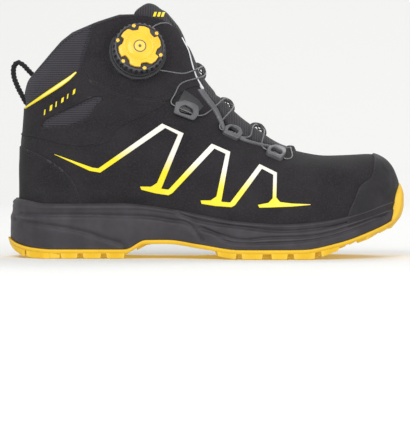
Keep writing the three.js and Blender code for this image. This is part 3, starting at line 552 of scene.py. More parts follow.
def bevelled_plate(outline, low, high, r, steps=3, holes=()):
    """A flat plate with rounded upper edges, from a CCW outline; holes are outlines too."""
    rings = [(0, low)] + [(r * (1 - math.cos(math.pi / 2 * k / steps)),
                           high - r * (1 - math.sin(math.pi / 2 * k / steps)))
                          for k in range(steps + 1)]
    points, faces = [], []
    top_loops = []
    for outline_i, sign in [(outline, 1)] + [(h, -1) for h in holes]:
        o, m = mitred(outline_i, 0.35)
        start = len(points)
        for d, z in rings:
            points += [(x, y, z) for x, y in o - sign * m * d]
        faces += [tuple(start + i for i in f) for f in grid_faces(len(rings), len(o), loop=True,
                                                                  flip=sign < 0)]
        top_loops.append(list(range(len(points) - len(o), len(points))))
    flat = [Vector(points[i][:2]) for loop in top_loops for i in loop]
    ids = [i for loop in top_loops for i in loop]
    edges, n = [], 0
    for loop in top_loops:
        edges += [(n + i, n + (i + 1) % len(loop)) for i in range(len(loop))]
        n += len(loop)
    verts, _, tris, origin, _, _ = delaunay_2d_cdt(flat, edges, [], 1, 1e-6)
    solid = np.array([[v.x, v.y] for v in verts])
    hole_shapes = [np.array([[points[i][0], points[i][1]] for i in loop]) for loop in top_loops[1:]]
    outer = np.array([[points[i][0], points[i][1]] for i in top_loops[0]])
    place = []
    for i, (x, y) in enumerate(solid):
        if not origin[i]:
            points.append((x, y, high))
        place.append(ids[origin[i][0]] if origin[i] else len(points) - 1)
    for t in tris:
        c = solid[list(t)].mean(0)[None]
        if inside(c, outer)[0] > 0 and all(inside(c, h)[0] < 0 for h in hole_shapes):
            faces.append(tuple(place[i] for i in t))
    return np.array(points), faces


# ---------------------------------------------------------------- the body that the upper is laid on

VOXEL = 1.5


def crown(x):
    toe = smooth(45, 105, x)
    return lerp(1.9, 4.4, toe), lerp(1.65, 2.3, toe)


def ridge_shift(x):
    return lerp(8, -4, smooth(30, 105, x))


def foot_rows(stations=110, levels=26):
    rows = []
    for u in np.linspace(0, 1, stations):
        x = float(station_x(UPPER_PLAN, u))
        rise, width = crown(x)
        a = np.linspace(0, math.pi / 2, levels)
        s, c = np.sin(a) ** (2 / rise), np.clip(np.cos(a), 0, 1) ** (2 / width)
        row = []
        for side, order in ((LATERAL, slice(None)), (MEDIAL, slice(None, None, -1))):
            y = AXIS_Y + ridge_shift(x) * s + side * half_width(UPPER_PLAN, side, x) * c
            z = board(x) + (ridge(x) - board(x)) * s
            row.append(np.stack([np.full(levels, x), y, z], 1)[order])
        rows.append(np.concatenate([row[0], row[1][1:]]))
    return np.array(rows)


def shaft_rings(sides=96):
    rings = []
    for z in np.arange(46, 204.1, 4):
        back, front, half = float(shaft_back(z)), float(shaft_front(z)), float(shaft_half(z))
        a = np.linspace(0, 2 * np.pi, sides, endpoint=False)
        c, s = np.cos(a), np.sin(a)
        rings.append(np.stack([(back + front) / 2 + (front - back) / 2 * np.sign(c) * np.abs(c) ** (2 / 2.3),
                               AXIS_Y + half * np.sign(s) * np.abs(s) ** (2 / 2.3), np.full(sides, z)], 1))
    return np.array(rings)


def read_mesh(data):
    v = np.empty(len(data.vertices) * 3)
    data.vertices.foreach_get("co", v)
    data.calc_loop_triangles()
    t = np.empty(len(data.loop_triangles) * 3, int)
    data.loop_triangles.foreach_get("vertices", t)
    return v.reshape(-1, 3), t.reshape(-1, 3)


def relax(v, t, rounds, weight=None):
    """Smooths a mesh by moving each vertex towards its neighbours."""
    e = np.concatenate([t[:, [0, 1]], t[:, [1, 2]], t[:, [2, 0]]])
    count = np.bincount(e.ravel(), minlength=len(v)).astype(float)
    w = 0.5 if weight is None else 0.5 * weight[:, None]
    for _ in range(rounds):
        total = np.stack([np.bincount(e[:, 0], v[e[:, 1], k], len(v)) + np.bincount(e[:, 1], v[e[:, 0], k],
                                                                                    len(v))
                          for k in range(3)], 1)
        v = v + w * (total / count[:, None] - v)
    return v


def vertex_normals(v, t):
    f = np.cross(v[t[:, 1]] - v[t[:, 0]], v[t[:, 2]] - v[t[:, 0]])
    n = np.stack([sum(np.bincount(t[:, j], f[:, k], len(v)) for j in range(3)) for k in range(3)], 1)
    return n / np.maximum(np.linalg.norm(n, axis=1, keepdims=True), 1e-12)


def make_body():
    """The lasted shape: foot and shaft joined, the ankle crease rounded, the open top cut later by fields."""
    rows = foot_rows()
    foot = (rows.reshape(-1, 3), grid_faces(*rows.shape[:2], flip=True)
            + [(i * rows.shape[1], (i + 1) * rows.shape[1], (i + 2) * rows.shape[1] - 1,
                (i + 1) * rows.shape[1] - 1)
               for i in range(rows.shape[0] - 1)])
    rings = shaft_rings()
    n = rings.shape[1]
    shaft = (rings.reshape(-1, 3), grid_faces(*rings.shape[:2], loop=True)
             + [tuple(range(n))[::-1], tuple(len(rings) * n - n + i for i in range(n))])
    p, f = join_meshes([foot, shaft])
    data = bpy.data.meshes.new("last")
    data.from_pydata(p.tolist(), [], [tuple(int(i) for i in q) for q in f])
    data.validate()
    obj = bpy.data.objects.new("last", data)
    bpy.context.scene.collection.objects.link(obj)
    mod = obj.modifiers.new("remesh", "REMESH")
    mod.mode, mod.voxel_size, mod.adaptivity = "VOXEL", VOXEL, 0
    graph = bpy.context.evaluated_depsgraph_get()
    v, t = read_mesh(obj.evaluated_get(graph).to_mesh())
    bpy.data.objects.remove(obj)
    v = relax(v, t, 8)
    crease = np.exp(-((v[:, 0] - 6) / 26) ** 2 - ((v[:, 2] - 122) / 30) ** 2)
    v = relax(v, t, int(110 * (1.3 / VOXEL) ** 2), weight=crease)
    n = vertex_normals(v, t)
    return v + 0.25 * n, t


class Surface:
    """Triangles with values at their vertices, which can be cut along the lines where a value is constant."""

    def __init__(self, v, t, values):
        self.v, self.t, self.a = v, t, values

    def cut(self, key, level):
        s = self.a[key] - level
        s = np.where(np.abs(s) < 1e-7, 1e-7, s)
        up = s[self.t] > 0
        count = up.sum(1)
        cross = (count == 1) | (count == 2)
        if not cross.any():
            return self
        t = self.t[cross]
        lone = np.where(count[cross] == 1, up[cross].argmax(1), (~up[cross]).argmax(1))
        r = np.arange(len(t))
        a, b, c = t[r, lone], t[r, (lone + 1) % 3], t[r, (lone + 2) % 3]
        pairs = np.sort(np.concatenate([np.stack([a, b], 1), np.stack([a, c], 1)]), 1)
        unique, where = np.unique(pairs, axis=0, return_inverse=True)
        where = where.ravel()
        i, j = unique.T
        w = s[i] / (s[i] - s[j])
        self.v = np.concatenate([self.v, self.v[i] + w[:, None] * (self.v[j] - self.v[i])])
        base = len(s)
        for k, q in self.a.items():
            ww = w if q.ndim == 1 else w[:, None]
            self.a[k] = np.concatenate([q, q[i] + ww * (q[j] - q[i])])
        pab, pac = base + where[:len(t)], base + where[len(t):]
        self.t = np.concatenate([self.t[~cross], np.stack([a, pab, pac], 1), np.stack([pab, b, c], 1),
                                 np.stack([pab, c, pac], 1)])
        return self

    def only(self, keep):
        """A new surface with the kept triangles and their vertices."""
        used, new = np.unique(self.t[keep], return_inverse=True)
        return Surface(self.v[used], new.reshape(-1, 3), {k: q[used] for k, q in self.a.items()})

    def where(self, key, low):
        """The part where a value is above a level."""
        return self.only(self.a[key][self.t].mean(1) > low)

    def near(self, key, low):
        """Only the triangles that reach above a level, uncut."""
        return self.only(self.a[key][self.t].max(1) > low)

    def refine(self):
        """Splits every triangle into four."""
        pairs = np.sort(np.concatenate([self.t[:, [0, 1]], self.t[:, [1, 2]], self.t[:, [2, 0]]]), 1)
        unique, where = np.unique(pairs, axis=0, return_inverse=True)
        where = where.ravel() + len(self.v)
        i, j = unique.T
        self.v = np.concatenate([self.v, (self.v[i] + self.v[j]) / 2])
        self.a = {k: np.concatenate([q, (q[i] + q[j]) / 2]) for k, q in self.a.items()}
        n = len(self.t)
        ab, bc, ca = where[:n], where[n:2 * n], where[2 * n:]
        a, b, c = self.t.T
        self.t = np.concatenate([np.stack(q, 1) for q in ((a, ab, ca), (ab, b, bc), (ca, bc, c),
                                                          (ab, bc, ca))])
        return self


def round_edge(f, r, height):
    """Height over a rounded edge: 0 at f = 0, full from f = r on."""
    q = np.clip(np.asarray(f) / r, 0, 1)
    return height * np.sqrt(np.maximum(1 - (1 - q) ** 2, 0))


# ---------------------------------------------------------------- charts on the body

throat_path = spline([(x, z) for x, z, _, _ in THROAT], 10)
throat_lengths = np.concatenate([[0], np.cumsum(np.linalg.norm(np.diff(throat_path, axis=0), axis=1))])
throat_knots = throat_lengths[::10]
throat_lateral = line([(s, k[2]) for s, k in zip(throat_knots, THROAT)])
throat_medial = line([(s, k[3]) for s, k in zip(throat_knots, THROAT)])
THROAT_END = throat_lengths[-1]


def throat_chart(v):
    """Distance along the throat and across it for points on the body."""
    _, seg, share = segment_distance(v[:, [0, 2]], throat_path, False)
    s = throat_lengths[seg] + share * np.diff(throat_lengths)[seg]
    tail = throat_path[-1] - throat_path[-3]
    tail /= np.linalg.norm(tail)
    beyond = (v[:, [0, 2]] - throat_path[-1]) @ tail
    s = np.where(s > THROAT_END - 1e-3, THROAT_END + np.maximum(beyond, 0), s)
    return s, v[:, 1] - AXIS_Y


def throat_outline():
    s = np.linspace(0, THROAT_END - 8, 60)
    left = np.stack([s, -throat_lateral(s)], 1)
    right = np.stack([s, throat_medial(s)], 1)
    nose = spline([left[-1], (THROAT_END + 1, -6), (THROAT_END + 4, 0.5), (THROAT_END + 1, 6.5), right[-1]],
                  6)
    return np.concatenate([left, nose[1:-1], right[::-1]])


def side_field(v, outline, per=6, loop=True):
    return inside(v[:, [0, 2]], spline(outline, per, loop) if per else np.array(outline, float))


body_v, body_t = make_body()
tree = BVHTree.FromPolygons([Vector(p) for p in body_v], body_t.tolist())
body_n = vertex_normals(body_v, body_t)


def surface_hit(start, direction):
    hit, normal, _, _ = tree.ray_cast(Vector(start), Vector(direction), 500)
    if hit is None:
        hit, normal, _, _ = tree.find_nearest(Vector(start))
    return np.array(hit), np.array(normal)


def on_side(side, x, z):
    """The body's surface and its normal at a point of the side view."""
    return surface_hit((x, side * 200, z), (0, -side, 0))


CORE_DEPTH = 34  # mm from the throat's edge down to the line that the instep's normals start from


def throat_core(s):
    """The throat's edge line and the core under it, at a distance along the throat."""
    p, q = (np.array([np.interp(at, throat_lengths, throat_path[:, k]) for k in (0, 1)]) for at in (s, s + 1))
    t = (q - p) / np.linalg.norm(q - p)
    return p, np.array([p[0] + t[1] * CORE_DEPTH, AXIS_Y, p[1] - t[0] * CORE_DEPTH])


def on_throat(s, across):
    """The surface and normal at a distance along the throat and a distance across it."""
    p, core = throat_core(s)
    through = np.array([p[0], AXIS_Y + across, p[1]])
    d = (through - core) / np.linalg.norm(through - core)
    return surface_hit(core + d * 150, -d)


# ---------------------------------------------------------------- fields of the upper

COLLAR_TEXTILE = [(-160, 110), (-139, 113.2), (-125, 122.4), (-112, 131), (-101, 139.5), (-95.5, 147),
                  (-93, 156), (-89.3, 167), (-86.4, 181), (-85, 205), (-160, 205)]
ANKLE_WINDOW = [(-125, 101), (-123.5, 105), (-114.5, 110), (-98, 117.4), (-83, 123.8), (-79, 122.6),
                (-84, 116), (-89, 109.5), (-98, 104), (-112, 101.2)]
REAR_PIECE = [(-165, 112), (-140, 115.3), (-118, 128.6), (-98, 142.6), (-94.2, 147.6), (-90.6, 139.5),
              (-80, 131.4),
              (-67.4, 125.8), (-50.5, 121.8), (-33, 119.8), (-46, 113.4), (-63.6, 106.5), (-75.9, 99),
              (-88, 87.1), (-107.5, 87.1), (-132.9, 93.2), (-165, 95.5)]
DIAL_PANEL = [(-84.5, 205), (-86, 181), (-89, 167), (-92.8, 155.6), (-94, 147.1), (-90.6, 139.5),
              (-81, 131.4),
              (-67.4, 125), (-50.5, 120.4), (-37, 119), (-26, 122), (-14, 129.5), (0, 133), (20, 150),
              (20, 205)]
LEAF = [(-87, 87.5), (-82, 96.2), (-67.6, 107.4), (-51.5, 114.6), (-30, 120), (-42.5, 111.3), (-57.6, 104.6),
        (-67.6, 99), (-75, 89.2)]
HEEL_EDGE = [(-90, 30), (-95.5, 43), (-99, 55), (-107, 66), (-121, 76), (-133, 82), (-150, 88)]
TOE_EDGE = [(107, 20), (108, 33), (113, 45), (117.5, 55), (126, 62), (128.5, 69), (129.5, 90)]
SURE = 60.0


def collar_field(v):
    """Distance below the collar's top line."""
    outline = COLLAR_LINE + [(-10, 174), (60, 172), (220, 172), (220, -40), (-220, -40), (-220, 60)]
    return inside(v[:, [0, 2]], outline)


def throat_field(v):
    """Distance outside the throat's edge, measured on the instep."""
    distance = segment_distance(v[:, [0, 2]], throat_path, False)[0]
    s, y = throat_chart(v)
    return np.where(distance > 42, SURE, -inside(np.stack([s, y], 1), throat_outline()))


def region(outline, per=5):
    return lambda v: side_field(v, outline, per)


def beyond_edge(edge, far):
    """The part of the body past a side-view edge line that runs on to far."""
    path = spline(edge, 6)
    outline = np.concatenate([path, [(far, 95), (far, 15)]])
    return lambda v: inside(v[:, [0, 2]], outline)


def both(*fields):
    return lambda v: np.minimum.reduce([f(v) for f in fields])


def without(field, gap=0.0):
    return lambda v: -field(v) - gap


def less(field, gap):
    return lambda v: field(v) - gap


collar_textile = region(COLLAR_TEXTILE)
window = region(ANKLE_WINDOW)
opening = both(collar_field, throat_field)
LATERAL_ONLY = lambda v: AXIS_Y - v[:, 1]
MEDIAL_ONLY = lambda v: v[:, 1] - AXIS_Y

# ---------------------------------------------------------------- layers on the body

layers = []  # (field, edge radius, bottom, top) of every panel, for finding the height of the surface


def top_height(points):
    """Height of the outermost layer over the body at points on it."""
    v = np.asarray(points, float)
    height = puff(v)
    for field, edge, under, top in layers:
        f = field(v)
        height = np.where(f > 0, np.maximum(height, under + round_edge(f, edge, top - under)), height)
    return height


def puff(v):
    """How far the padded collar textile and the windows swell between their seams."""
    rear = np.clip(np.minimum(collar_textile(v), collar_field(v)), 0, None)
    return 2.4 * smooth(0, 16, rear) + 0.9 * smooth(0, 6, np.clip(window(v), 0, None))


def closed_shell(name, s, outer, inner, material, body="boot"):
    """Joins an outer and an inner copy of a surface along its border."""
    n = len(s.v)
    edges = np.concatenate([s.t[:, [0, 1]], s.t[:, [1, 2]], s.t[:, [2, 0]]])
    key = np.sort(edges, 1)
    _, first, count = np.unique(key, axis=0, return_index=True, return_counts=True)
    rim = edges[first[count == 1]]
    sides = np.stack([rim[:, 1], rim[:, 0], rim[:, 0] + n, rim[:, 1] + n], 1)
    faces = s.t.tolist() + (s.t[:, ::-1] + n).tolist() + sides.tolist()
    return mesh_object(name, np.concatenate([outer, inner]), faces, material, body)


def fine_surface(field, refine, levels):
    s = Surface(body_v, body_t, {"f": field(body_v), "n": body_n}).near("f", -1.0)
    for _ in range(refine):
        s.refine()
        s.a["f"] = field(s.v)
        s = s.near("f", -0.6)
    for level in levels:
        s.cut("f", level)
    return s.where("f", 0)


def panel(name, field, top, edge, material, under=0.0, refine=0, body="boot", sink=0.5, swell=None):
    """A sheet laid on the body where its field is above 0, with a rounded edge."""
    layers.append((field, edge, under, top))
    s = fine_surface(field, refine, (0, edge * 0.08, edge * 0.35, edge))
    rise = under - 0.15 + round_edge(s.a["f"], edge, top - under + 0.15)
    if swell:
        rise = rise + swell(s.v)
    normal = s.a["n"]
    return closed_shell(name, s, s.v + normal * rise[:, None], s.v + normal * (under - sink), material, body)


def rolled(name, field, thick, material, body="boot", swell=None, refine=0):
    """A padded sheet under the body's surface whose border is rolled over, seen from outside and inside."""
    s = fine_surface(field, refine, (0, 0.3, 1.0, 2.0, 3.5))
    t = thick(s.v)
    q = np.clip(s.a["f"] / (t / 2), 0, 1)
    roll = t / 2 * (1 - np.sqrt(np.maximum(1 - (1 - q) ** 2, 0)))
    rise = swell(s.v) * q if swell else 0 * t
    n = s.a["n"]
    outer = s.v + n * (rise - roll + 0.01)[:, None]
    inner = s.v - n * (t - roll)[:, None]
    return closed_shell(name, s, outer, inner, material, body)


def shell_thickness(v):
    """The lined wall: thin at the foot, padded round the ankle and thin again along the throat."""
    padded = smooth(96, 150, v[:, 2]) * smooth(1, 12, throat_field(v))
    return 3.2 + 4.8 * padded


lining = rolled("lined_shell", opening, shell_thickness, "textile", swell=puff)
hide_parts("collar_padding", "collar_lateral", "collar_medial", "ankle_window_lateral",
            "ankle_window_medial")

main_field = both(less(throat_field, 1.0), less(collar_field, 1.6), without(collar_textile), without(window))
main = panel("main_nubuck", main_field, 0.9, 0.6, "nubuck")
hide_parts("vamp", "quarter_lateral", "quarter_medial")
rear_field = both(region(REAR_PIECE), without(window, 0.6), less(throat_field, 2.0))
panel("rear_overlay", rear_field, 1.7, 0.7, "nubuck", under=0.75)
dial_field = both(region(DIAL_PANEL), less(throat_field, 1.6), less(collar_field, 2.2))
panel("dial_overlay", dial_field, 2.1, 0.8, "nubuck", under=0.75)
panel("ankle_leaf", region(LEAF), 1.6, 0.6, "nubuck", under=0.75, refine=1)
heel = panel("heel_counter_cover", beyond_edge(HEEL_EDGE, -190), 1.9, 0.8, "nubuck", under=0.75)
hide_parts("heel_counter")
toe = panel("toe_bumper_cap", beyond_edge(TOE_EDGE, 190), 2.0, 0.9, "rubber_black", under=0.75)
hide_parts("toe_bumper")

# ---------------------------------------------------------------- trims and prints

PIPING = [(-138.5, 114.6), (-125, 123.6), (-112, 132), (-104, 137.6), (-98.6, 142.4)]


def strip(path, width, per=6):
    """A closed outline of a varying width along a path; width is a function of the share along it."""
    p = spline(path, per)
    t = np.gradient(p, axis=0)
    t /= np.linalg.norm(t, axis=1, keepdims=True)
    half = np.array([width(k) / 2 for k in np.linspace(0, 1, len(p))])
    side = np.stack([-t[:, 1], t[:, 0]], 1) * half[:, None]
    return np.concatenate([p + side, (p - side)[::-1]])


def outline_region(outline):
    return lambda v: inside(v[:, [0, 2]], outline)


piping = panel("collar_piping", outline_region(strip(PIPING, lambda t: 1.2 + 2.2 * math.sin(math.pi * t))),
               2.3, 0.5, "film_yellow", under=0.7, refine=2)
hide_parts("piping_lateral", "piping_medial")
panel("collar_piping_core", outline_region(strip(PIPING[1:], lambda t: 0.3 + 1.1 * math.sin(math.pi * t))),
      2.42, 0.2, "film_pale", under=2.2, refine=2)

ZIGZAG = [
    (-119.4, 81.1), (-86.8, 69.6), (-82.1, 69), (-33.4, 103.3), (-16.9, 95.8), (-34, 53.3), (-28.4, 52.5),
    (4.5, 87.5), (19, 81.1), (12.3, 43.4), (19, 42.8), (41.1, 71.6), (54.8, 65), (54.2, 46.5), (57, 43.2),
    (66, 42.2), (80, 41.8), (80, 41.2), (66, 39.8), (50, 39), (41.1, 38.8), (39.9, 41), (48, 42.6),
    (51.2, 46),
    (51.8, 63.4), (43.1, 68), (22.6, 40.6), (20, 39.2), (8, 40), (-2.8, 41.6), (-3.6, 44.3), (4.1, 44.4),
    (8.5, 47.3), (15.3, 79.5), (6.9, 83.5), (-25.3, 49.5), (-28.4, 47.9), (-39, 49.8), (-49.3, 52.5),
    (-50.3, 55), (-41.8, 54.9), (-37.4, 57.7), (-21.3, 94.8), (-31, 99.8), (-80.7, 65.6), (-88.8, 67),
]
print_film = panel("zigzag_print", outline_region(ZIGZAG), 1.25, 0.3, "print", under=0.85, refine=2, sink=0.2)
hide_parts("graphic_lateral", "graphic_medial")

# Slanted bars stand in for the printed words below the piping.
MARK_START, MARK_STEP, MARK_COUNT = np.array([-123.5, 109.2]), np.array([4.4, 3.15]), 6


def mark_outline(i):
    low = MARK_START + MARK_STEP * i
    run = MARK_STEP / np.linalg.norm(MARK_STEP)
    wide = 2.4 if i % 2 else 1.3
    lean = np.array([0.5, 4.4 if i < 3 else 3.8])
    return np.array([low, low + run * wide, low + run * wide + lean, low + lean])


for i in range(MARK_COUNT):
    panel(f"collar_mark_{i + 1}", both(outline_region(mark_outline(i)), LATERAL_ONLY), 1.85, 0.2,
          "film_yellow", under=1.65, refine=2, sink=0.2)


def band(low, high):
    """Between two distances from the throat's edge; high may be a function of the points."""
    def field(v):
        from_edge = throat_field(v)
        return np.minimum(from_edge - low, (high(v) if callable(high) else high) - from_edge)
    return field


def between(low, high):
    return lambda v: np.minimum(v[:, 2] - low, high - v[:, 2])


reflective = panel("reflective_edge", both(band(0.9, 2.5), between(128.5, 169), LATERAL_ONLY), 2.5, 0.5,
                   "reflective", under=0.7, refine=1)
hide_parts("reflective_strip")
arm_width = lambda v: 1.4 + lerp(2.3, 4.6, smooth(96, 130, v[:, 2]))
for name, side, top in (("lateral", LATERAL_ONLY, 129), ("medial", MEDIAL_ONLY, 164)):
    arm = panel(f"eyestay_arm_{name}", both(band(1.4, arm_width), between(77, top), side), 2.5, 0.9,
                "plastic_grey", under=0.7, refine=1)
    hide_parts(f"eyestay_{name}")

# ---------------------------------------------------------------- stitches

STITCH_PITCH, STITCH_LONG, STITCH_R = 2.9, 2.0, 0.32
stitch_parts = []


def add_stitches(path, sides=(LATERAL, MEDIAL), shift=0.0, per=6, lift=0.12):
    """Short threads along a side-view path laid on the outermost layer."""
    p = spline(path, per)
    t = np.gradient(p, axis=0)
    t /= np.linalg.norm(t, axis=1, keepdims=True)
    p = p + np.stack([-t[:, 1], t[:, 0]], 1) * shift
    q, _ = resample(p, STITCH_PITCH)
    for side in sides:
        hits = [on_side(side, *k) for k in q]
        place = np.array([h[0] for h in hits])
        normal = np.array([h[1] for h in hits])
        place = place + normal * (top_height(place) + lift)[:, None]
        steps = np.linalg.norm(np.diff(place, axis=0), axis=1)
        for i in range(len(place) - 1):
            if steps[i] > 3 * STITCH_PITCH:
                continue
            along = (place[i + 1] - place[i]) / steps[i]
            middle = (place[i] + place[i + 1]) / 2
            count = max(1, round(steps[i] / STITCH_PITCH))
            for k in range(count):
                at = lerp(place[i], place[i + 1], (k + 0.5) / count) if count > 1 else middle
                stitch_parts.append(thread(at, along, normal[i]))


def thread(at, along, normal):
    rings = []
    across = np.cross(along, normal)
    across /= np.linalg.norm(across)
    up = np.cross(across, along)
    for share, r in ((-0.5, 0.25), (-0.32, 0.9), (0.32, 0.9), (0.5, 0.25)):
        centre = at + along * share * STITCH_LONG - up * (0.35 * STITCH_R if abs(share) > 0.4 else 0)
        for a in np.linspace(0, 2 * np.pi, 6, endpoint=False):
            rings.append(centre + STITCH_R * r * (math.cos(a) * up + math.sin(a) * across))
    return np.array(rings), grid_faces(4, 6, loop=True) + [(5, 4, 3, 2, 1, 0), (18, 19, 20, 21, 22, 23)]


add_stitches([(-84.4, 179), *DIAL_PANEL[2:10]], shift=-2.2)
add_stitches([(-82.4, 179.6), (-86, 167), (-89.6, 155.6), (-90.6, 147.6), (-87.2, 141)], shift=-2.2)
add_stitches([(-88, 139), (-79, 132.4), (-66.4, 127), (-50, 122.4), (-37, 121), (-27, 124), (-17, 131)],
             shift=2.6)
add_stitches([(-91, 145), (-97, 139.6), (-104, 134.6), (-112, 129), (-125, 120), (-137.5, 111.6)], shift=0.0)
add_stitches(REAR_PIECE[6:13], shift=2.0)
add_stitches(REAR_PIECE[12:16], shift=2.0)
add_stitches(strip([(-122, 102.6), (-110, 106), (-96, 112), (-82, 121.6)],
                   lambda t: 10.5 * math.sin(math.pi * t) + 3), shift=-1.0, per=1)
add_stitches(HEEL_EDGE[1:], shift=2.0)
add_stitches(HEEL_EDGE[1:], shift=4.0)
add_stitches([(x, z) for x, z in TOE_EDGE[1:-1]], shift=-1.6)
add_stitches([(x + 0.6, z - 3.2) for x, z in COLLAR_LINE[5:9]])
add_stitches([(x + 1.4, z - 3.4) for x, z in COLLAR_LINE[1:6]])
mesh_object("seam_stitches", *join_meshes(stitch_parts), "thread")

# ---------------------------------------------------------------- tongue and gussets

TONGUE_TOP = [(-54, 187), (-53, 190.3), (-47.5, 195), (-43, 197.2), (-38, 196.4), (-33, 192.6), (-27, 184),
              (-20, 174), (-30, 176), (-40, 182)]
TONGUE_CHANNELS = (58, 82, 104)


def tongue_field(v):
    within = -throat_field(v) - lerp(1.9, 1.0, smooth(96, 128, v[:, 2]))
    return np.maximum(side_field(v, TONGUE_TOP, 5), np.minimum(within, region_below_top(v)))


def region_below_top(v):
    line_up = np.interp(v[:, 0], [-60, -53, -47.5, -43, -38, -33, -20],
                        [186, 190.3, 195, 197.2, 196.4, 192.6, 189])
    return line_up - v[:, 2]


def tongue_swell(v):
    s, y = throat_chart(v)
    pillow = 1 - np.clip(np.abs(y) / 15, 0, 1) ** 2
    channels = sum(np.exp(-((s - c) / 2.2) ** 2) for c in TONGUE_CHANNELS)
    return -0.7 + 1.1 * pillow - 0.9 * channels * pillow


tongue = rolled("padded_tongue", tongue_field, lambda v: np.full(len(v), 6.8), "tongue_textile", "tongue",
                swell=tongue_swell)
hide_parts("tongue")
# Slanted bars stand in for the printed name on the tongue.
for i, x in enumerate((-40.4, -37.2, -34.2)):
    bar = [(x, 185.6), (x + 1.9, 185.6), (x + 3.1, 189.2), (x + 1.2, 189.2)]
    panel(f"tongue_mark_{i + 1}", both(outline_region(bar), LATERAL_ONLY), 0.4, 0.2, "film_yellow", under=0.1,
          refine=2, body="tongue", sink=0.3, swell=tongue_swell)


def throat_grid(s_values, across_of, out_of):
    """Points over the instep: one row for each distance along the throat."""
    rows = []
    for s in s_values:
        row = [on_throat(s, a) for a in across_of(s)]
        rows.append([p + n * o for (p, n), o in zip(row, out_of(s))])
    return np.array(rows)


GUSSET_DEPTH, GUSSET_THICK = 3.6, 0.9
for name, side, edge in (("lateral", -1, throat_lateral), ("medial", 1, throat_medial)):
    shares = np.linspace(0, 1, 8)
    across = lambda s, side=side, edge=edge: side * (float(edge(s)) + 3 - 7 * shares)
    s_values = np.linspace(THROAT_END * 0.5, THROAT_END - 4, 26)
    fold = -GUSSET_DEPTH - 1.6 * np.sin(np.pi * shares)
    outer = throat_grid(s_values, across, lambda s: fold)
    inner = throat_grid(s_values, across, lambda s: fold - GUSSET_THICK)
    n, m = outer.shape[:2]
    faces = sheet_faces(n, m, flip=side > 0)
    gusset = mesh_object(f"gusset_{name}_fold", np.concatenate([outer.reshape(-1, 3), inner.reshape(-1, 3)]),
                         faces, "lining", body=None)
    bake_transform(gusset)
    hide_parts(f"gusset_{name}")

# ---------------------------------------------------------------- midsole

MIDSOLE_LEVELS = [(0, 1.2, 1.6), (0.3, 1.4, 1.8), (0.75, 3.4, 2.8), (0.9, 4.4, 3.0), (1, 6.4, 3.6)]
level_heel = line([(share, heel_in) for share, heel_in, _ in MIDSOLE_LEVELS])
level_toe = line([(share, toe_in) for share, _, toe_in in MIDSOLE_LEVELS])
SOLE_STATIONS = 230
# Grooves of the side wall as side-view lines, with their width and depth.
WALL_GROOVES = [
    ([(-143, 34), (-140, 33.5), (-85, 33), (-40, 31.4), (-28, 29.4), (-13, 26.6), (-3.5, 14.4)], 1.2, 1.8),
    ([(-147.5, 29.4), (-134.7, 27), (-111, 23.8), (-92.3, 20), (-76, 14.6), (-64, 10.8), (-61, 6)], 1.2, 1.8),
    ([(-22.7, 36), (-7, 29.3), (26.5, 24.5), (60, 21.5), (98, 25.5), (144, 38.5)], 1.1, 1.6),
    ([(-5, 23), (6.5, 20), (26.5, 14.8), (47, 16.4), (88, 18.6), (130, 31), (141, 34.2)], 1.1, 1.6),
    ([(-4.2, 24.6), (8.5, 19), (15, 13.8), (52.7, 12.6), (88, 15.8), (120, 24.8), (139.5, 32.6)], 1.0, 1.5),
]


def plan_inset(share):
    """The sole's plan drawn in by the slope of the midsole's wall."""
    heel_in, toe_in = float(level_heel(share)), float(level_toe(share))
    plan = inset(SOLE_PLAN, (heel_in + toe_in) / 2)
    plan.update(back=SOLE_PLAN["back"] + heel_in, front=SOLE_PLAN["front"] - toe_in,
                waist=SOLE_PLAN["waist"] + 8 * share)
    return plan


def plan_loop(plan, stations, height):
    """The plan's outline at a height, lateral side from heel to toe and back along the medial side."""
    x = station_x(plan, np.linspace(0, 1, stations))
    z = height(x)
    lateral = np.stack([x, AXIS_Y - half_width(plan, -1, x), z], 1)
    medial = np.stack([x, AXIS_Y + half_width(plan, 1, x), z], 1)
    return np.concatenate([lateral, medial[::-1][1:-1]])


def cross_faces(start, stations, flip=False):
    """Quads across a loop made by plan_loop."""
    count = 2 * stations - 2
    out = []
    for i in range(stations - 1):
        a, b = start + i, start + i + 1
        c, d = start + (count - i - 1) % count, start + (count - i) % count
        face = [a, b, c, d]
        face = [k for n, k in enumerate(face) if k not in face[:n]]
        out.append(tuple(face[::-1] if flip else face))
    return out


def loop_faces(loops, stations):
    """Faces of so many plan loops, closed at the first and the last."""
    count = 2 * stations - 2
    return [*grid_faces(loops, count, loop=True), *cross_faces(0, stations, flip=True),
            *cross_faces((loops - 1) * count, stations)]


def loop_out(loop):
    """Outward directions in plan round a closed loop."""
    t = np.roll(loop, -1, 0) - np.roll(loop, 1, 0)
    n = np.stack([t[:, 1], -t[:, 0], np.zeros(len(t))], 1)
    return n / np.maximum(np.linalg.norm(n, axis=1, keepdims=True), 1e-9)


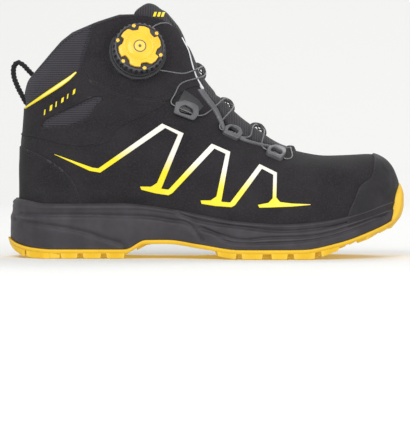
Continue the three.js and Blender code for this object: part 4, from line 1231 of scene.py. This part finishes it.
def make_midsole():
    low = lambda x: outsole_top(x) + 0.25
    shares = np.concatenate([np.linspace(0, 0.9, 26), np.linspace(0.9, 1, 7)[1:]])
    loops = []
    for share in shares:
        loop = plan_loop(plan_inset(share), SOLE_STATIONS, lambda x, k=share: lerp(low(x), midsole_top(x), k))
        q = loop[:, [0, 2]]
        out = np.zeros(len(loop))
        for path, wide, deep in WALL_GROOVES:
            distance = segment_distance(q, spline(path, 5), False)[0]
            out -= deep * np.exp(-(distance / wide) ** 2)
        x, z = q.T
        ridges = np.exp(-((z - 40) / 2.6) ** 2) + np.exp(-((z - 31) / 2.6) ** 2) - 0.8
        out += 0.9 * ridges * smooth(-118, -142, x) * (1 - share) ** 0.2
        out += 0.9 * smooth(0.86, 0.9, share) * (1 - smooth(0.95, 1.0, share))
        out = np.minimum(out, level_heel(share) * 0.85)
        loops.append(loop + loop_out(loop) * out[:, None])
    top = plan_inset(1.0)
    for step, down in ((1.2, 0.1), (2.4, 1.4), (7, 4.0)):
        loops.append(plan_loop(inset(top, step), SOLE_STATIONS, lambda x, d=down: midsole_top(x) - d))
    points = np.concatenate(loops)
    faces = loop_faces(len(loops), SOLE_STATIONS)
    obj = mesh_object("sculpted_midsole", points, faces, "foam_black")
    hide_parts("midsole")


make_midsole()

# ---------------------------------------------------------------- outsole

LUG_ROOT = 3.2


def base_bottom(x):
    return outsole_top(x) - LUG_ROOT


def on_ground(points, depth=1.0):
    """Turns a plate's height from 0 to depth into a way down from the outsole's web to the ground line."""
    p = np.array(points, float)
    share = p[:, 2] / depth
    web = base_bottom(p[:, 0]) + 0.4
    p[:, 2] = lerp(web, np.minimum(ground(p[:, 0]), web - 0.6), share)
    return p


def lug(outline, depth=1.0, edge=1.0):
    """A block of the tread from its plan outline, as deep as a share of the full lug."""
    outline, m = mitred(outline, 0.5)
    rings = [(0.0, 0.0), (0.35 * edge, 0.72 * depth), (0.6 * edge, 0.93 * depth), (1.1 * edge, depth)]
    points = np.concatenate([np.column_stack([outline - m * d, np.full(len(outline), h)]) for d, h in rings])
    count = len(outline)
    faces = [f[::-1] for f in grid_faces(len(rings), count, loop=True)]
    last = len(points) - count
    centre = points[last:].mean(0)
    points = np.concatenate([points, centre[None]])
    faces += [(last + (i + 1) % count, last + i, len(points) - 1) for i in range(count)]
    return on_ground(points), faces


def star(x, y, size, turn, arms=4, hollow=0.5):
    """A four-armed star with blunt tips and hollow sides."""
    out = []
    for i in range(arms):
        a = turn + 2 * math.pi * i / arms
        for swing in (-0.16, 0.16):
            out.append((x + size * math.cos(a + swing), y + size * math.sin(a + swing)))
        b = a + math.pi / arms
        out.append((x + size * hollow * math.cos(b), y + size * hollow * math.sin(b)))
    return out


HALVINGS = 14  # steps that find the plan's edge to a few microns


def clipped(outline, middle, margin=0.9):
    """Pulls the points of an outline towards a middle until they lie inside the sole's plan."""
    plan = inset(SOLE_PLAN, margin)

    def inside(x, y):
        side = LATERAL if y < AXIS_Y else MEDIAL
        return plan["back"] < x < plan["front"] and abs(y - AXIS_Y) < float(half_width(plan, side, x))

    out = []
    for x, y in outline:
        low, high = (1.0, 1.0) if inside(x, y) else (0.0, 1.0)
        for _ in range(HALVINGS if low < high else 0):
            share = (low + high) / 2
            at = middle[0] + share * (x - middle[0]), middle[1] + share * (y - middle[1])
            low, high = (share, high) if inside(*at) else (low, share)
        out.append((middle[0] + low * (x - middle[0]), middle[1] + low * (y - middle[1])))
    return out


# Middles of the star lugs under the ball of the foot as (x, y, turn in degrees).
BALL_STARS = [
    (16, -24, 20), (36, -24, 10), (33.5, -7, 40), (16, -5, 15), (13.5, 14.5, 45), (30, 19, 10), (44.5, 4, 20),
    (52, -24, 35), (57, 19, 45), (46, 33, 30), (65, -20, 45), (61, 0, 5), (81, -30, 45), (82, -14, 10),
    (76, 4, 40), (90, -4, 20), (89, 17.5, 45), (75, 30, 15), (103, 3, 30), (100, -22, 10), ]
HEEL_STARS = [(-101, 0, 45), (-79, 2, 20)]
STAR_SIZE, STAR_GAP, EDGE_DEEP = 8.4, 16.9, 12.4
HEEL_STAR_SIZE, STAR_MARGIN, SPREAD_STEPS = 10.4, 1.4, 120
# Spans of the blocks along the edges, between the notches that show from the side.
EDGE_BLOCKS = {
    LATERAL: ((-111, -98), (-94, -80), (-76, -62), (9, 23.5), (27.5, 43.5), (50, 62.5), (67, 83.5),
              (88, 102)),
    MEDIAL: ((-111, -97), (-93, -79), (-75, -60), (10, 26), (30, 44), (49, 64), (68, 84), (89, 104)),
}
# Bent ribs that frame the pads of heel and toe.
HEEL_FRAME = [(-72, -44), (-66.6, -13), (-113, -14), (-116, 15.5), (-90, 17.5), (-61, 11), (-55.5, 36)]
TOE_FRAME = [(110.5, -50), (114.5, -29), (95.5, -33), (105, 25), (120, 23), (122.5, 40)]


def spread(stars, gap):
    """Moves the middles of the lugs apart until none lies nearer than the gap, inside the edge blocks."""
    p = np.array([star[:2] for star in stars], float)
    plan = inset(SOLE_PLAN, EDGE_DEEP + 7)
    for _ in range(SPREAD_STEPS):
        apart = p[:, None] - p[None]
        far = np.linalg.norm(apart, axis=2) + 1e3 * np.eye(len(p))
        p += 0.25 * (np.maximum(gap - far, 0)[..., None] * apart / far[..., None]).sum(1)
        p[:, 0] = np.clip(p[:, 0], 10, 103)
        p[:, 1] = np.clip(p[:, 1], AXIS_Y - half_width(plan, LATERAL, p[:, 0]),
                          AXIS_Y + half_width(plan, MEDIAL, p[:, 0]))
    return [(x, y, star[2]) for (x, y), star in zip(p, stars)]


def arc(centre, ends, radii):
    """A block between two arcs round a point of the axis; way is -1 towards the heel."""
    cx, way = centre
    (r0, r1), (a0, a1) = radii, ends
    angles = np.linspace(a0, a1, 7)
    inner = [(cx + way * r0 * math.cos(a), AXIS_Y + r0 * math.sin(a)) for a in angles]
    return inner + [(cx + way * r1 * math.cos(a), AXIS_Y + r1 * math.sin(a)) for a in angles[::-1]]


SMALLEST_BLOCK = 28  # mm2; the plan leaves less of a block only as a sliver


def bands(centre, middle, rows, cuts):
    """Curved rows of blocks across the heel or the toe, cut lengthwise by sipes."""
    out = []
    for r0, r1 in rows:
        for a0, a1 in zip(cuts, cuts[1:]):
            block = clipped(arc(centre, (a0 + 0.5 / r0, a1 - 0.5 / r0), (r0, r1)), middle)
            if abs(signed_area(np.array(block))) > SMALLEST_BLOCK:
                out.append(lug(block))
    return out


def rib(path, wide, depth):
    """A low bent rib along a path of the plan."""
    p = np.array(path, float)
    blocks = []
    for a, b in zip(p, p[1:]):
        step = (b - a) / np.linalg.norm(b - a)
        side = np.array([-step[1], step[0]]) * wide / 2
        blocks.append(lug([a - side, b - side, b + side, a + side], depth=depth, edge=0.25))
    return blocks


def tread_lugs():
    parts = []
    for x, y, turn in spread(BALL_STARS, STAR_GAP):
        parts.append(lug(clipped(star(x, y, STAR_SIZE, math.radians(turn)), (x, y), EDGE_DEEP + STAR_MARGIN)))
    for x, y, turn in HEEL_STARS:
        parts.append(lug(clipped(star(x, y, HEEL_STAR_SIZE, math.radians(turn)), (x, y),
                                 EDGE_DEEP + STAR_MARGIN)))
    # Curved rows of blocks at the back of the heel and at the toe.
    parts += bands((-20, -1), (-95, AXIS_Y), ((124.5, 134), (113.5, 122.5), (100.5, 111)),
                   (-0.44, -0.27, -0.13, 0.0, 0.14, 0.28, 0.44))
    parts += bands((40, 1), (95, AXIS_Y), ((98.6, 113), (86.5, 96.6)),
                   (-0.52, -0.36, -0.22, -0.08, 0.06, 0.18, 0.32, 0.5))
    # Edge blocks along both sides: outer edge on the plan, inner edge a blunt arrow.
    for side, spans in EDGE_BLOCKS.items():
        for x0, x1 in spans:
            edge = [(x, AXIS_Y + side * (float(half_width(SOLE_PLAN, side,
                                                          x)) - 0.9)) for x in np.linspace(x0, x1, 6)]
            middle = (x0 + x1) / 2
            back = [(x, AXIS_Y + side * (float(half_width(SOLE_PLAN, side, x)) - EDGE_DEEP + d))
                    for x, d in ((x1 - 1.2, 1.2), (x1 - 3.6, 0), (middle + 1.4, 2.6), (middle - 2, 2.2),
                                 (x0 + 3.6, 0), (x0 + 1.2, 1.4))]
            parts.append(lug(edge + back))
    # Low stars under the waist.
    for i, x in enumerate((-45, -28, -11)):
        for j, y in enumerate((-26, -9, 8, 25)):
            turn = math.radians(20 + 25 * ((i + j) % 2))
            parts.append(lug(clipped(star(x, y + AXIS_Y, STAR_SIZE, turn), (x, AXIS_Y), 2)))
    for frame, middle in ((HEEL_FRAME, -90), (TOE_FRAME, 105)):
        parts += rib(clipped(frame, (middle, AXIS_Y), 1.6), 1.5, 0.45)
    return parts


def make_outsole():
    loops = [plan_loop(inset(SOLE_PLAN, d), SOLE_STATIONS, height) for d, height in (
        (30, base_bottom), (20, base_bottom), (10, base_bottom), (2.2, base_bottom),
        (1.2, lambda x: base_bottom(x) + 0.2), (0.5, lambda x: lerp(base_bottom(x), outsole_top(x), 0.35)),
        (0.15, lambda x: lerp(base_bottom(x), outsole_top(x), 0.7)), (0.3, lambda x: outsole_top(x) - 0.25),
        (0.9, outsole_top), (6, outsole_top))]
    faces = loop_faces(len(loops), SOLE_STATIONS)
    obj = mesh_object("treaded_outsole", *join_meshes([(np.concatenate(loops), faces), *tread_lugs()]),
                      "rubber_yellow")
    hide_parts("outsole")
    obj.data.polygons.foreach_set("use_smooth", [True] * len(obj.data.polygons))
    sharpen(obj, 38)


def sharpen(obj, degrees):
    """Smooth shading with crisp creases."""
    bpy.context.view_layer.objects.active = obj
    obj.select_set(True)
    bpy.ops.object.shade_smooth_by_angle(angle=math.radians(degrees))
    obj.select_set(False)


GUARD_FRONT = line([(20, 143), (27, 149), (32, 152.4), (40, 154.2), (47, 154.2), (56.5, 151.6)])


def guard_half(z):
    """Half the width of the toe guard at a height: a flat-sided tongue with a rounded top."""
    return lerp(30, 21, smooth(18, 46, z)) * math.sqrt(max(1 - max((z - 40) / 16.6, 0) ** 2.6, 0))


def make_toe_guard():
    """The outsole's rubber run up over the toe as a tapering tongue with a bevelled edge."""
    outer, inner = [], []
    heights = 22 + 34.4 * np.sin(np.linspace(0, math.pi / 2, 30))
    across = np.linspace(-1, 1, 41)
    for z in heights:
        for k in across:
            y = k * float(guard_half(z))
            bend = 74 - math.sqrt(74**2 - y**2)
            edge = min((1 - abs(k)) * float(guard_half(z)), 56.6 - z + 0.3)
            lip = 1.5 * math.sqrt(max(1 - (1 - min(max(edge, 0) / 1.5, 1)) ** 2, 0))
            x = float(GUARD_FRONT(z)) - bend - 0.15
            outer.append((x - 1.5 + lip, AXIS_Y + y, z))
            inner.append((x - 9, AXIS_Y + y * 0.97, z - 0.2))
    n, m = len(heights), len(across)
    points = np.array(outer + inner)
    mesh_object("toe_guard", points, sheet_faces(n, m, turn_rim=True), "rubber_yellow")


make_outsole()
make_toe_guard()


def make_footbed():
    """The insole seen through the collar: cupped at its edge, with a soft heel bowl."""
    plans = [(5.2, 3.6), (5.4, 5.4), (6.4, 6.4), (8.6, 5.6), (14, 4.4), (24, 3.9), (34, 3.9)]
    stations = SOLE_STATIONS // 2
    loops = [plan_loop(inset(UPPER_PLAN, d), stations, lambda x, h=h: board(x) + h)
             for d, h in [(6, 0.6), *plans]]
    obj = mesh_object("cupped_footbed", np.concatenate(loops), loop_faces(len(loops), stations), "lining")
    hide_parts("footbed")


make_footbed()

# ---------------------------------------------------------------- dial

DIAL_AXIS = np.array([0.13, -0.94, 0.31]) / np.linalg.norm([0.13, -0.94, 0.31])
DIAL_FOOT = np.array([-52.265, -28.325, 157.145])
dial_x = np.array([1, 0, 0]) - DIAL_AXIS * DIAL_AXIS[0]
dial_x /= np.linalg.norm(dial_x)
dial_y = np.cross(DIAL_AXIS, dial_x)
TAU = 2 * math.pi


def dial_piece(name, parts, material, body, crease=34):
    points, faces = join_meshes(parts)
    placed = DIAL_FOOT + points[:, :1] * dial_x + points[:, 1:2] * dial_y + points[:, 2:] * DIAL_AXIS
    obj = mesh_object(name, placed, faces, material, body)
    sharpen(obj, crease)
    return obj


def faceted(count, blend_from, blend_to):
    """Turns a circle into a polygon below a height, smoothly."""
    def wave(angle, radius, height):
        half = TAU / count / 2
        flat = math.cos(half) / np.cos((angle + 0.2) % (2 * half) - half)
        share = 1 - smooth(blend_from, blend_to, height)
        return radius * lerp(1, flat * 1.012, np.where(radius > 18, share, 0))
    return wave


def toothed(count, depth, inner, low, high):
    """Rounded grip teeth round the outside between two heights."""
    def wave(angle, radius, height):
        tooth = smooth(0.1, 0.45, np.abs((angle * count / TAU) % 1 - 0.5))
        there = np.where((radius > inner) & (height > low) & (height < high), 1.0, 0.0)
        return radius - depth * tooth * there
    return wave


base_profile = [(2.6, 1.4), (2.6, 11), (0.4, 11.2), (0.4, 0.2), (20.6, 0.2), (21, -6.4), (22.4, -6.4),
                (22.5, -3), (22.4, 1.6), (21.9, 2.9),
                (21, 3.4), (20.6, 3.7), (20.4, 6.2), (20.1, 6.6), (15.6, 6.6), (15, 6.1), (15, 1.4),
                (2.6, 1.4)]
base = dial_piece("dial_housing", [lathe(base_profile, 120, faceted(12, 0.5, 3.2))], "plastic_black", "boot")
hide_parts("dial_base")

ring_profile = [(3, 9.5), (15.4, 9.5), (15.4, 7.2), (19.2, 7.1), (19.8, 7.7), (20, 8.4), (20, 13.2),
                (19.6, 14.3), (18.8, 15), (17.8, 15.1), (17.2, 14.5), (15.5, 14.35), (3, 14.3), (3, 9.5)]
ring = dial_piece("dial_grip_ring", [lathe(ring_profile, 240, toothed(30, 0.85, 18.5, 7.4, 14.6))],
                  "plastic_black", "dial_knob")
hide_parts("dial_knob")

BLADES = 6


def blade_outline(grow=0.0, first=math.radians(92)):
    """Six raked blades like a saw's: a steep leading edge and a long curved back."""
    out = []
    for i in range(BLADES):
        a = first - TAU / BLADES * i
        for turn, r in ((0, 16.3), (0.24, 16.5), (0.47, 16.3), (0.54, 15.6), (0.66, 13.6), (0.84, 13.1),
                        (1.0, 13.4)):
            out.append(((r + grow) * math.cos(a - turn), (r + grow) * math.sin(a - turn)))
    return out


def raked_ribs():
    parts = []
    for i in range(BLADES):
        for j in range(3):
            a = 0.02 + TAU / BLADES * i + 0.2 * j
            start, end = 10.6, (14.3, 13.2, 12.2)[j]
            c, s = math.cos(a), math.sin(a)
            lean = 0.24
            p0 = np.array([start * c, start * s])
            p1 = np.array([end * math.cos(a + lean), end * math.sin(a + lean)])
            side = np.array([-(p1 - p0)[1], (p1 - p0)[0]])
            side *= 0.42 / np.linalg.norm(side)
            parts.append(bevelled_plate([p0 - side, p1 - side, p1 + side, p0 + side], 16.4, 17.1, 0.3))
    return parts


dome = [(0, 17.7), (3, 17.68), (6, 17.5), (8.6, 17.28), (9.4, 17.0), (9.9, 17.2), (10.5, 17.2), (11, 16.8),
        (11.2, 16.2), (0, 16.2)]
cap = dial_piece("dial_cap_blades", [bevelled_plate(blade_outline(), 14.4, 16.8, 0.55), lathe(dome, 96),
                                     *raked_ribs()], "plastic_yellow", "dial_knob")
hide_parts("dial_cap")
# A plain ring and dot stand in for the printed name.
mark = [lathe([(4.1, 17.5), (4.2, 17.78), (4.9, 17.74), (5.0, 17.45), (4.1, 17.5)], 64),
        lathe([(0, 17.82), (1.1, 17.8), (1.3, 17.6), (0, 17.5)], 32)]
dial_piece("dial_cap_mark", mark, "plastic_grey", "dial_knob")

DIAMONDS = (105, 41, -20, -77, -136, 165)
kites = []
for degrees in DIAMONDS:
    a = math.radians(degrees)
    c, s = math.cos(a), math.sin(a)
    kite = [(-1.5, 0), (-0.2, -1.7), (1.3, -0.9), (1.4, 0.9), (-0.2, 1.7)]
    kites.append(bevelled_plate([((17.2 + u) * c - w * s, (17.2 + u) * s + w * c) for u, w in kite], 14.2,
                                15.55, 0.35))
dial_piece("dial_ring_markers", kites, "plastic_yellow", "dial_knob")


def around_dial(radius, count, lift):
    """Places on the upper round the dial, as (place, direction, normal)."""
    out = []
    for a in np.linspace(0, TAU, count, endpoint=False):
        start = DIAL_FOOT + radius * (math.cos(a) * dial_x + math.sin(a) * dial_y) + 40 * DIAL_AXIS
        place, normal = surface_hit(start, -DIAL_AXIS)
        out.append(place + normal * (float(top_height(place[None])[0]) + lift))
    return np.array(out)


def make_dial_trim():
    """The row of stitches that holds the dial's flange under the overlay."""
    track = around_dial(26.2, 56, 0.12)
    parts = []
    for i, at in enumerate(track):
        along = track[(i + 1) % len(track)] - track[i - 1]
        along /= np.linalg.norm(along)
        parts.append(thread(at, along, DIAL_AXIS))
    mesh_object("dial_stitches", *join_meshes(parts), "thread")


make_dial_trim()

# ---------------------------------------------------------------- lace guides and lace

GUIDES = [
    ([(-23.6, 119.2), (-24.9, 111.6), (-23.6, 110.4), (-11.2, 105.6), (-9.6, 105.9), (-6.6, 109.4),
      (-7, 115.2), (-9.6, 117.4), (-17.3, 120.3)],
     [(-21.4, 113.6), (-19.4, 116), (-16.4, 116.6), (-11.4, 113.6), (-10.6, 111), (-12.6, 109),
      (-20.2, 111.4)]),
    ([(13.6, 100.6), (12.6, 95.4), (13.8, 93.9), (23, 89.4), (24.6, 89.6), (27.2, 92.6), (26, 96.6),
      (23.4, 98.6), (16.8, 101.4)],
     [(15.4, 97), (16.4, 98.8), (18.8, 99), (23.2, 96.2), (23.9, 94.2), (22.4, 92.6), (16.4, 95.2)]),
    ([(47, 82.6), (45.9, 79.4), (47.2, 77.6), (57, 73.6), (58.6, 74), (61.8, 77.2), (61.4, 80.2), (58.6, 82),
      (52.6, 83.8)],
     [(48.8, 79.8), (50.2, 81.4), (53, 81.4), (58, 78.6), (58.6, 77), (56.6, 76), (49.6, 78.4)]),
]
# How far each guide's tab keeps from the throat's edge, so that the tongue passes it.
TAB_MARGINS = (3.4, 1.3, 3.4)
GUIDE_TABS = [
    [(-23, 117), (-17, 129), (-6, 121), (-2, 116), (-8, 109), (-20, 112)],
    [(14, 101), (14, 107.5), (24, 101), (33, 96.2), (28, 92), (18, 95)],
    [(47.5, 82), (45, 87.8), (54, 83.5), (60.5, 80), (60, 77), (50, 79)],
]


def fine_outline(outline, step=0.8):
    """Rounds the corners of an outline slightly and resamples it."""
    p = np.array(outline, float)
    cut = []
    for a, b, c in zip(np.roll(p, 1, 0), p, np.roll(p, -1, 0)):
        r = min(0.9, np.linalg.norm(a - b) / 3, np.linalg.norm(c - b) / 3)
        u, w = (a - b) / np.linalg.norm(a - b), (c - b) / np.linalg.norm(c - b)
        cut += [b + u * r, b + (u + w) * r * 0.22, b + w * r]
    closed = np.array(cut + [cut[0]])
    return resample(closed, step)[0][:-1]


def wrapped_plate(outline, holes, low, high, r, side=LATERAL):
    """A moulded plate whose heights are taken from the body's surface."""
    points, faces = bevelled_plate(fine_outline(outline), low, high, r, 4, [fine_outline(h) for h in holes])
    out = []
    for x, z, h in points:
        place, normal = on_side(side, x, z)
        out.append(place + normal * h)
    return np.array(out), ([f[::-1] for f in faces] if side > 0 else faces)


for i, ((outline, hole), tab, keep) in enumerate(zip(GUIDES, GUIDE_TABS, TAB_MARGINS)):
    plate = mesh_object(f"lace_guide_frame_{i + 1}",
                        *join_meshes([wrapped_plate(outline, [hole], 0.6, 4.4, 0.7)]), "plastic_grey")
    sharpen(plate, 40)
    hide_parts(f"lace_guide_{i + 1}")
    panel(f"lace_guide_tab_{i + 1}", both(outline_region(tab), less(throat_field, keep), LATERAL_ONLY), 1.9,
          0.5, "plastic_black", under=0.75, refine=1)

ARCHES = (0.48, 0.68, 0.865)
ARCH_ACROSS, ARCH_SPAN = 17.5, 0.036


def throat_point(share, across, out):
    """A point out from the instep at a share of the throat's length and a distance across it."""
    place = on_throat(share * THROAT_END, across)[0]
    way = place - throat_core(share * THROAT_END)[1]
    return place + way / np.linalg.norm(way) * out


def eye(i):
    return throat_point(ARCHES[i], ARCH_ACROSS - 1.5, 3)


def crossing(i, along, across):
    return throat_point(ARCHES[i] + along, across, 3.8 if across < -4 else 3)


def beside(x, z, out=2.6):
    return on_side(LATERAL, x, z)[0] + np.array([0, -out, 0])


lace_path = [
    beside(-42, 145.5, 5.6), beside(-36, 144.2, 4), beside(-28, 143), beside(-17, 141.6),
    crossing(0, -0.012, -19), crossing(0, -0.012, -6), crossing(0, -0.01, 8), eye(0),
    crossing(0, 0.022, 8), crossing(0, 0.024, -6), crossing(0, 0.03, -19), beside(-19.3, 133.4),
    beside(-23.4, 126), beside(-26.4, 119.5), beside(-23.4, 116.6, 3),
    beside(-15.4, 113.2, 3), beside(-7, 109.6, 3), beside(-1.5, 109.8),
    crossing(1, -0.03, -14), crossing(1, -0.02, 2), eye(1),
    crossing(1, 0.02, 4), crossing(1, 0.03, -12), beside(11, 102.4),
    beside(11.5, 99), beside(20.8, 96.6, 3), beside(29.4, 92.4, 3),
    beside(34.4, 93.4), crossing(2, -0.03, -10), crossing(2, -0.02, 4), eye(2),
    crossing(2, 0.02, 4), crossing(2, 0.03, -10), beside(43.5, 85.6),
    beside(46.6, 83.2, 3), beside(54, 80.6, 3), beside(62, 76, 3), beside(66, 76.6),
    surface_hit((66, AXIS_Y - 6, 130), (0, 0, -1))[0] + np.array([0, 0, 2.4]),
    surface_hit((66, AXIS_Y + 1, 130), (0, 0, -1))[0] + np.array([0, 0, 2.4]),
]
LACE_RADIUS = 0.6
lace_line, _ = resample(spline(lace_path, 14), 1.1)


def lace_pieces():
    """The lace in two kinds of stretch: over the lateral half of the instep and over the medial half."""
    medial = lace_line[:, 1] > AXIS_Y - 4
    change = np.flatnonzero(np.diff(medial.astype(int))) + 1
    for piece in np.split(np.arange(len(lace_line)), change):
        ids = np.arange(max(piece[0] - 1, 0), piece[-1] + 1)
        yield medial[piece[0]], lace_line[ids]


lace_sides = {True: [], False: []}
for is_medial, points in lace_pieces():
    if len(points) > 2:
        lace_sides[is_medial].append(sweep(points, round_section(LACE_RADIUS, 10)))
# The lace is held by the boot at the first point across it, and lifted by the tongue's edge at the second;
# here both kinds of run are baked in place and ride no body.
lateral_lace = mesh_object("lace_lateral_runs", *join_meshes(lace_sides[False]), "steel", body=None)
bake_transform(lateral_lace)
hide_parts("lace")
medial_lace = mesh_object("lace_medial_runs", *join_meshes(lace_sides[True]), "steel", body=None)
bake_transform(medial_lace)

# The cable's other end runs from the dial over the panel into its front edge.
return_path = [beside(-42, 175.5, 5.4), beside(-39, 178.2, 3.4), beside(-34, 180.2, 2.9),
               beside(-28.6, 179.8, 2.8), beside(-24.4, 175.8, 2.7), beside(-21.8, 170.6, 2.4)]
return_line, _ = resample(spline(return_path, 14), 1.1)
return_run = mesh_object("lace_return_run", *sweep(return_line, round_section(LACE_RADIUS, 10)), "steel")
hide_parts("lace_return")

for i, share in enumerate(ARCHES):
    line_up = [throat_point(share + k * ARCH_SPAN, ARCH_ACROSS, out)
               for k, out in zip((-1, -0.8, -0.35, 0, 0.35, 0.8, 1), (0.4, 4.4, 6.6, 7.2, 6.6, 4.4, 0.4))]
    path = spline(line_up, 8)
    width = 1 + 0.5 * np.abs(np.linspace(-1, 1, len(path))) ** 2
    section = rounded_box_section(2.1, 3.2, 0.95)
    arch = mesh_object(f"lace_arch_loop_{i + 1}", *sweep(path, section, scale=width), "plastic_black")
    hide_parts(f"lace_arch_{i + 1}")

anchor_at = surface_hit((66, AXIS_Y + 4.6, 130), (0, 0, -1))[0]
anchor_profile = [(0, 3.9), (1.4, 3.8), (2.8, 3.3), (3.5, 2.2), (3.9, 1.0), (4.3, 0.4), (4.4, -0.4),
                  (0, -0.4)]
points, faces = lathe(anchor_profile, 48)
anchor = mesh_object("lace_anchor_button", points * [1.0, 0.9, 1] + anchor_at, faces, "plastic_black")
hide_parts("lace_anchor")

# ---------------------------------------------------------------- heel pull loop

PULL_LINE = [(-133.5, 114), (-138.6, 118.2), (-142.4, 124.6), (-146.4, 132.6), (-149, 140.6), (-148.6, 147.4),
             (-145.6, 150.4), (-141.6, 148.4), (-137.6, 144.2), (-132.4, 139)]
pull_path, pull_way = resample([(x, AXIS_Y, z) for x, z in spline(PULL_LINE, 10)], 0.9)
pull_normal = np.stack([-pull_way[:, 2], 0 * pull_way[:, 0], pull_way[:, 0]], 1)
pull = mesh_object("heel_pull_strap", *sweep(pull_path, rounded_box_section(3.0, 14, 1.2), pull_normal),
                   "webbing")
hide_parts("pull_loop")
pull_threads = []
for across in (-5.2, 5.2):
    for at, way, normal in list(zip(pull_path, pull_way, pull_normal))[3:-3:3]:
        for face in (-1, 1):
            pull_threads.append(thread(at + [0, across, 0] + normal * face * 1.58, way, normal * face))
mesh_object("pull_strap_stitches", *join_meshes(pull_threads), "thread")

# ---------------------------------------------------------------- CAD pieces that stay

for node, material in (("spool", "plastic_black"), ("pawl_disc", "plastic_black"),
                       ("puncture_plate", "composite"),
                       ("toe_cap_insert", "composite"), ("heel_stiffener", "composite")):
    obj = frame["nodes"][node]
    for place in obj.material_slots:
        place.material = MATERIALS[material]

# ---------------------------------------------------------------- stage


def stage():
    floor = bpy.data.materials.new("floor")
    floor.use_nodes = True
    nodes, links = floor.node_tree.nodes, floor.node_tree.links
    shader = nodes["Principled BSDF"]
    shader.inputs["Base Color"].default_value = srgb(238, 238, 236)
    shader.inputs["Roughness"].default_value = 0.9
    clear, pick = nodes.new("ShaderNodeBsdfTransparent"), nodes.new("ShaderNodeMixShader")
    either = nodes.new("ShaderNodeMath")
    either.operation = "MAXIMUM"  # seen through from below, where the sky's light reaches the tread
    links.new(nodes.new("ShaderNodeNewGeometry").outputs["Backfacing"], either.inputs[0])
    links.new(nodes.new("ShaderNodeLightPath").outputs["Is Diffuse Ray"], either.inputs[1])
    links.new(either.outputs[0], pick.inputs[0])
    links.new(shader.outputs[0], pick.inputs[1])
    links.new(clear.outputs[0], pick.inputs[2])
    links.new(pick.outputs[0], nodes["Material Output"].inputs[0])
    half, back, high, bend = 3.0, 2.2, 3.0, 0.8
    profile = [(-half, 0)] + [(back - bend + bend * math.sin(a), bend - bend * math.cos(a))
                              for a in np.linspace(0, math.pi / 2, 12)] + [(back, high)]
    points = [(x, y, z) for y, z in profile for x in (-half, half)]
    data = bpy.data.meshes.new("floor")
    data.from_pydata(points, [], grid_faces(len(profile), 2, flip=True))
    data.polygons.foreach_set("use_smooth", [True] * len(data.polygons))
    data.materials.append(floor)
    obj = bpy.data.objects.new("floor", data)
    bpy.context.scene.collection.objects.link(obj)
    obj.location.z = -0.0004
    if obj.data.polygons[0].normal.z < 0:
        obj.data.flip_normals()


def area_light(name, place, target, size, power):
    data = bpy.data.lights.new(name, "AREA")
    data.shape, data.size, data.energy = "DISK", size, power
    obj = bpy.data.objects.new(name, data)
    obj.location = place
    obj.rotation_mode = "QUATERNION"
    obj.rotation_quaternion = (Vector(target) - Vector(place)).to_track_quat("-Z", "Y")
    bpy.context.scene.collection.objects.link(obj)


def camera():
    """A long lens on the lateral side, a little above the sole."""
    data = bpy.data.cameras.new("camera")
    obj = bpy.data.objects.new("camera", data)
    bpy.context.scene.collection.objects.link(obj)
    distance, frame_high, up = 2.8, 0.345, math.radians(2.0)
    aim = Vector((-0.0004, -0.02, 0.0258))
    back = Vector((0, -math.cos(up), math.sin(up)))
    data.sensor_width = 36
    data.lens = 36 * distance / frame_high
    obj.rotation_mode = "QUATERNION"
    obj.location = aim + back * distance
    obj.rotation_quaternion = (-back).to_track_quat("-Z", "Y")
    data.clip_end = 50
    bpy.context.scene.camera = obj


def lights():
    area_light("key", (-0.5, -2.0, 1.35), (0, 0, 0.08), 1.2, 22)
    area_light("fill", (1.3, -1.7, 0.6), (0, 0, 0.08), 1.0, 9)
    area_light("rim", (0.5, 1.2, 1.5), (0, 0, 0.1), 1.0, 7)
    world = bpy.data.worlds.new("world")
    bpy.context.scene.world = world
    world.use_nodes = True
    world.node_tree.nodes["Background"].inputs[0].default_value = (1, 1, 1, 1)
    world.node_tree.nodes["Background"].inputs[1].default_value = 0.8


stage()
camera()
lights()
bpy.context.scene.view_settings.view_transform = "Standard"
bpy.context.view_layer.update()
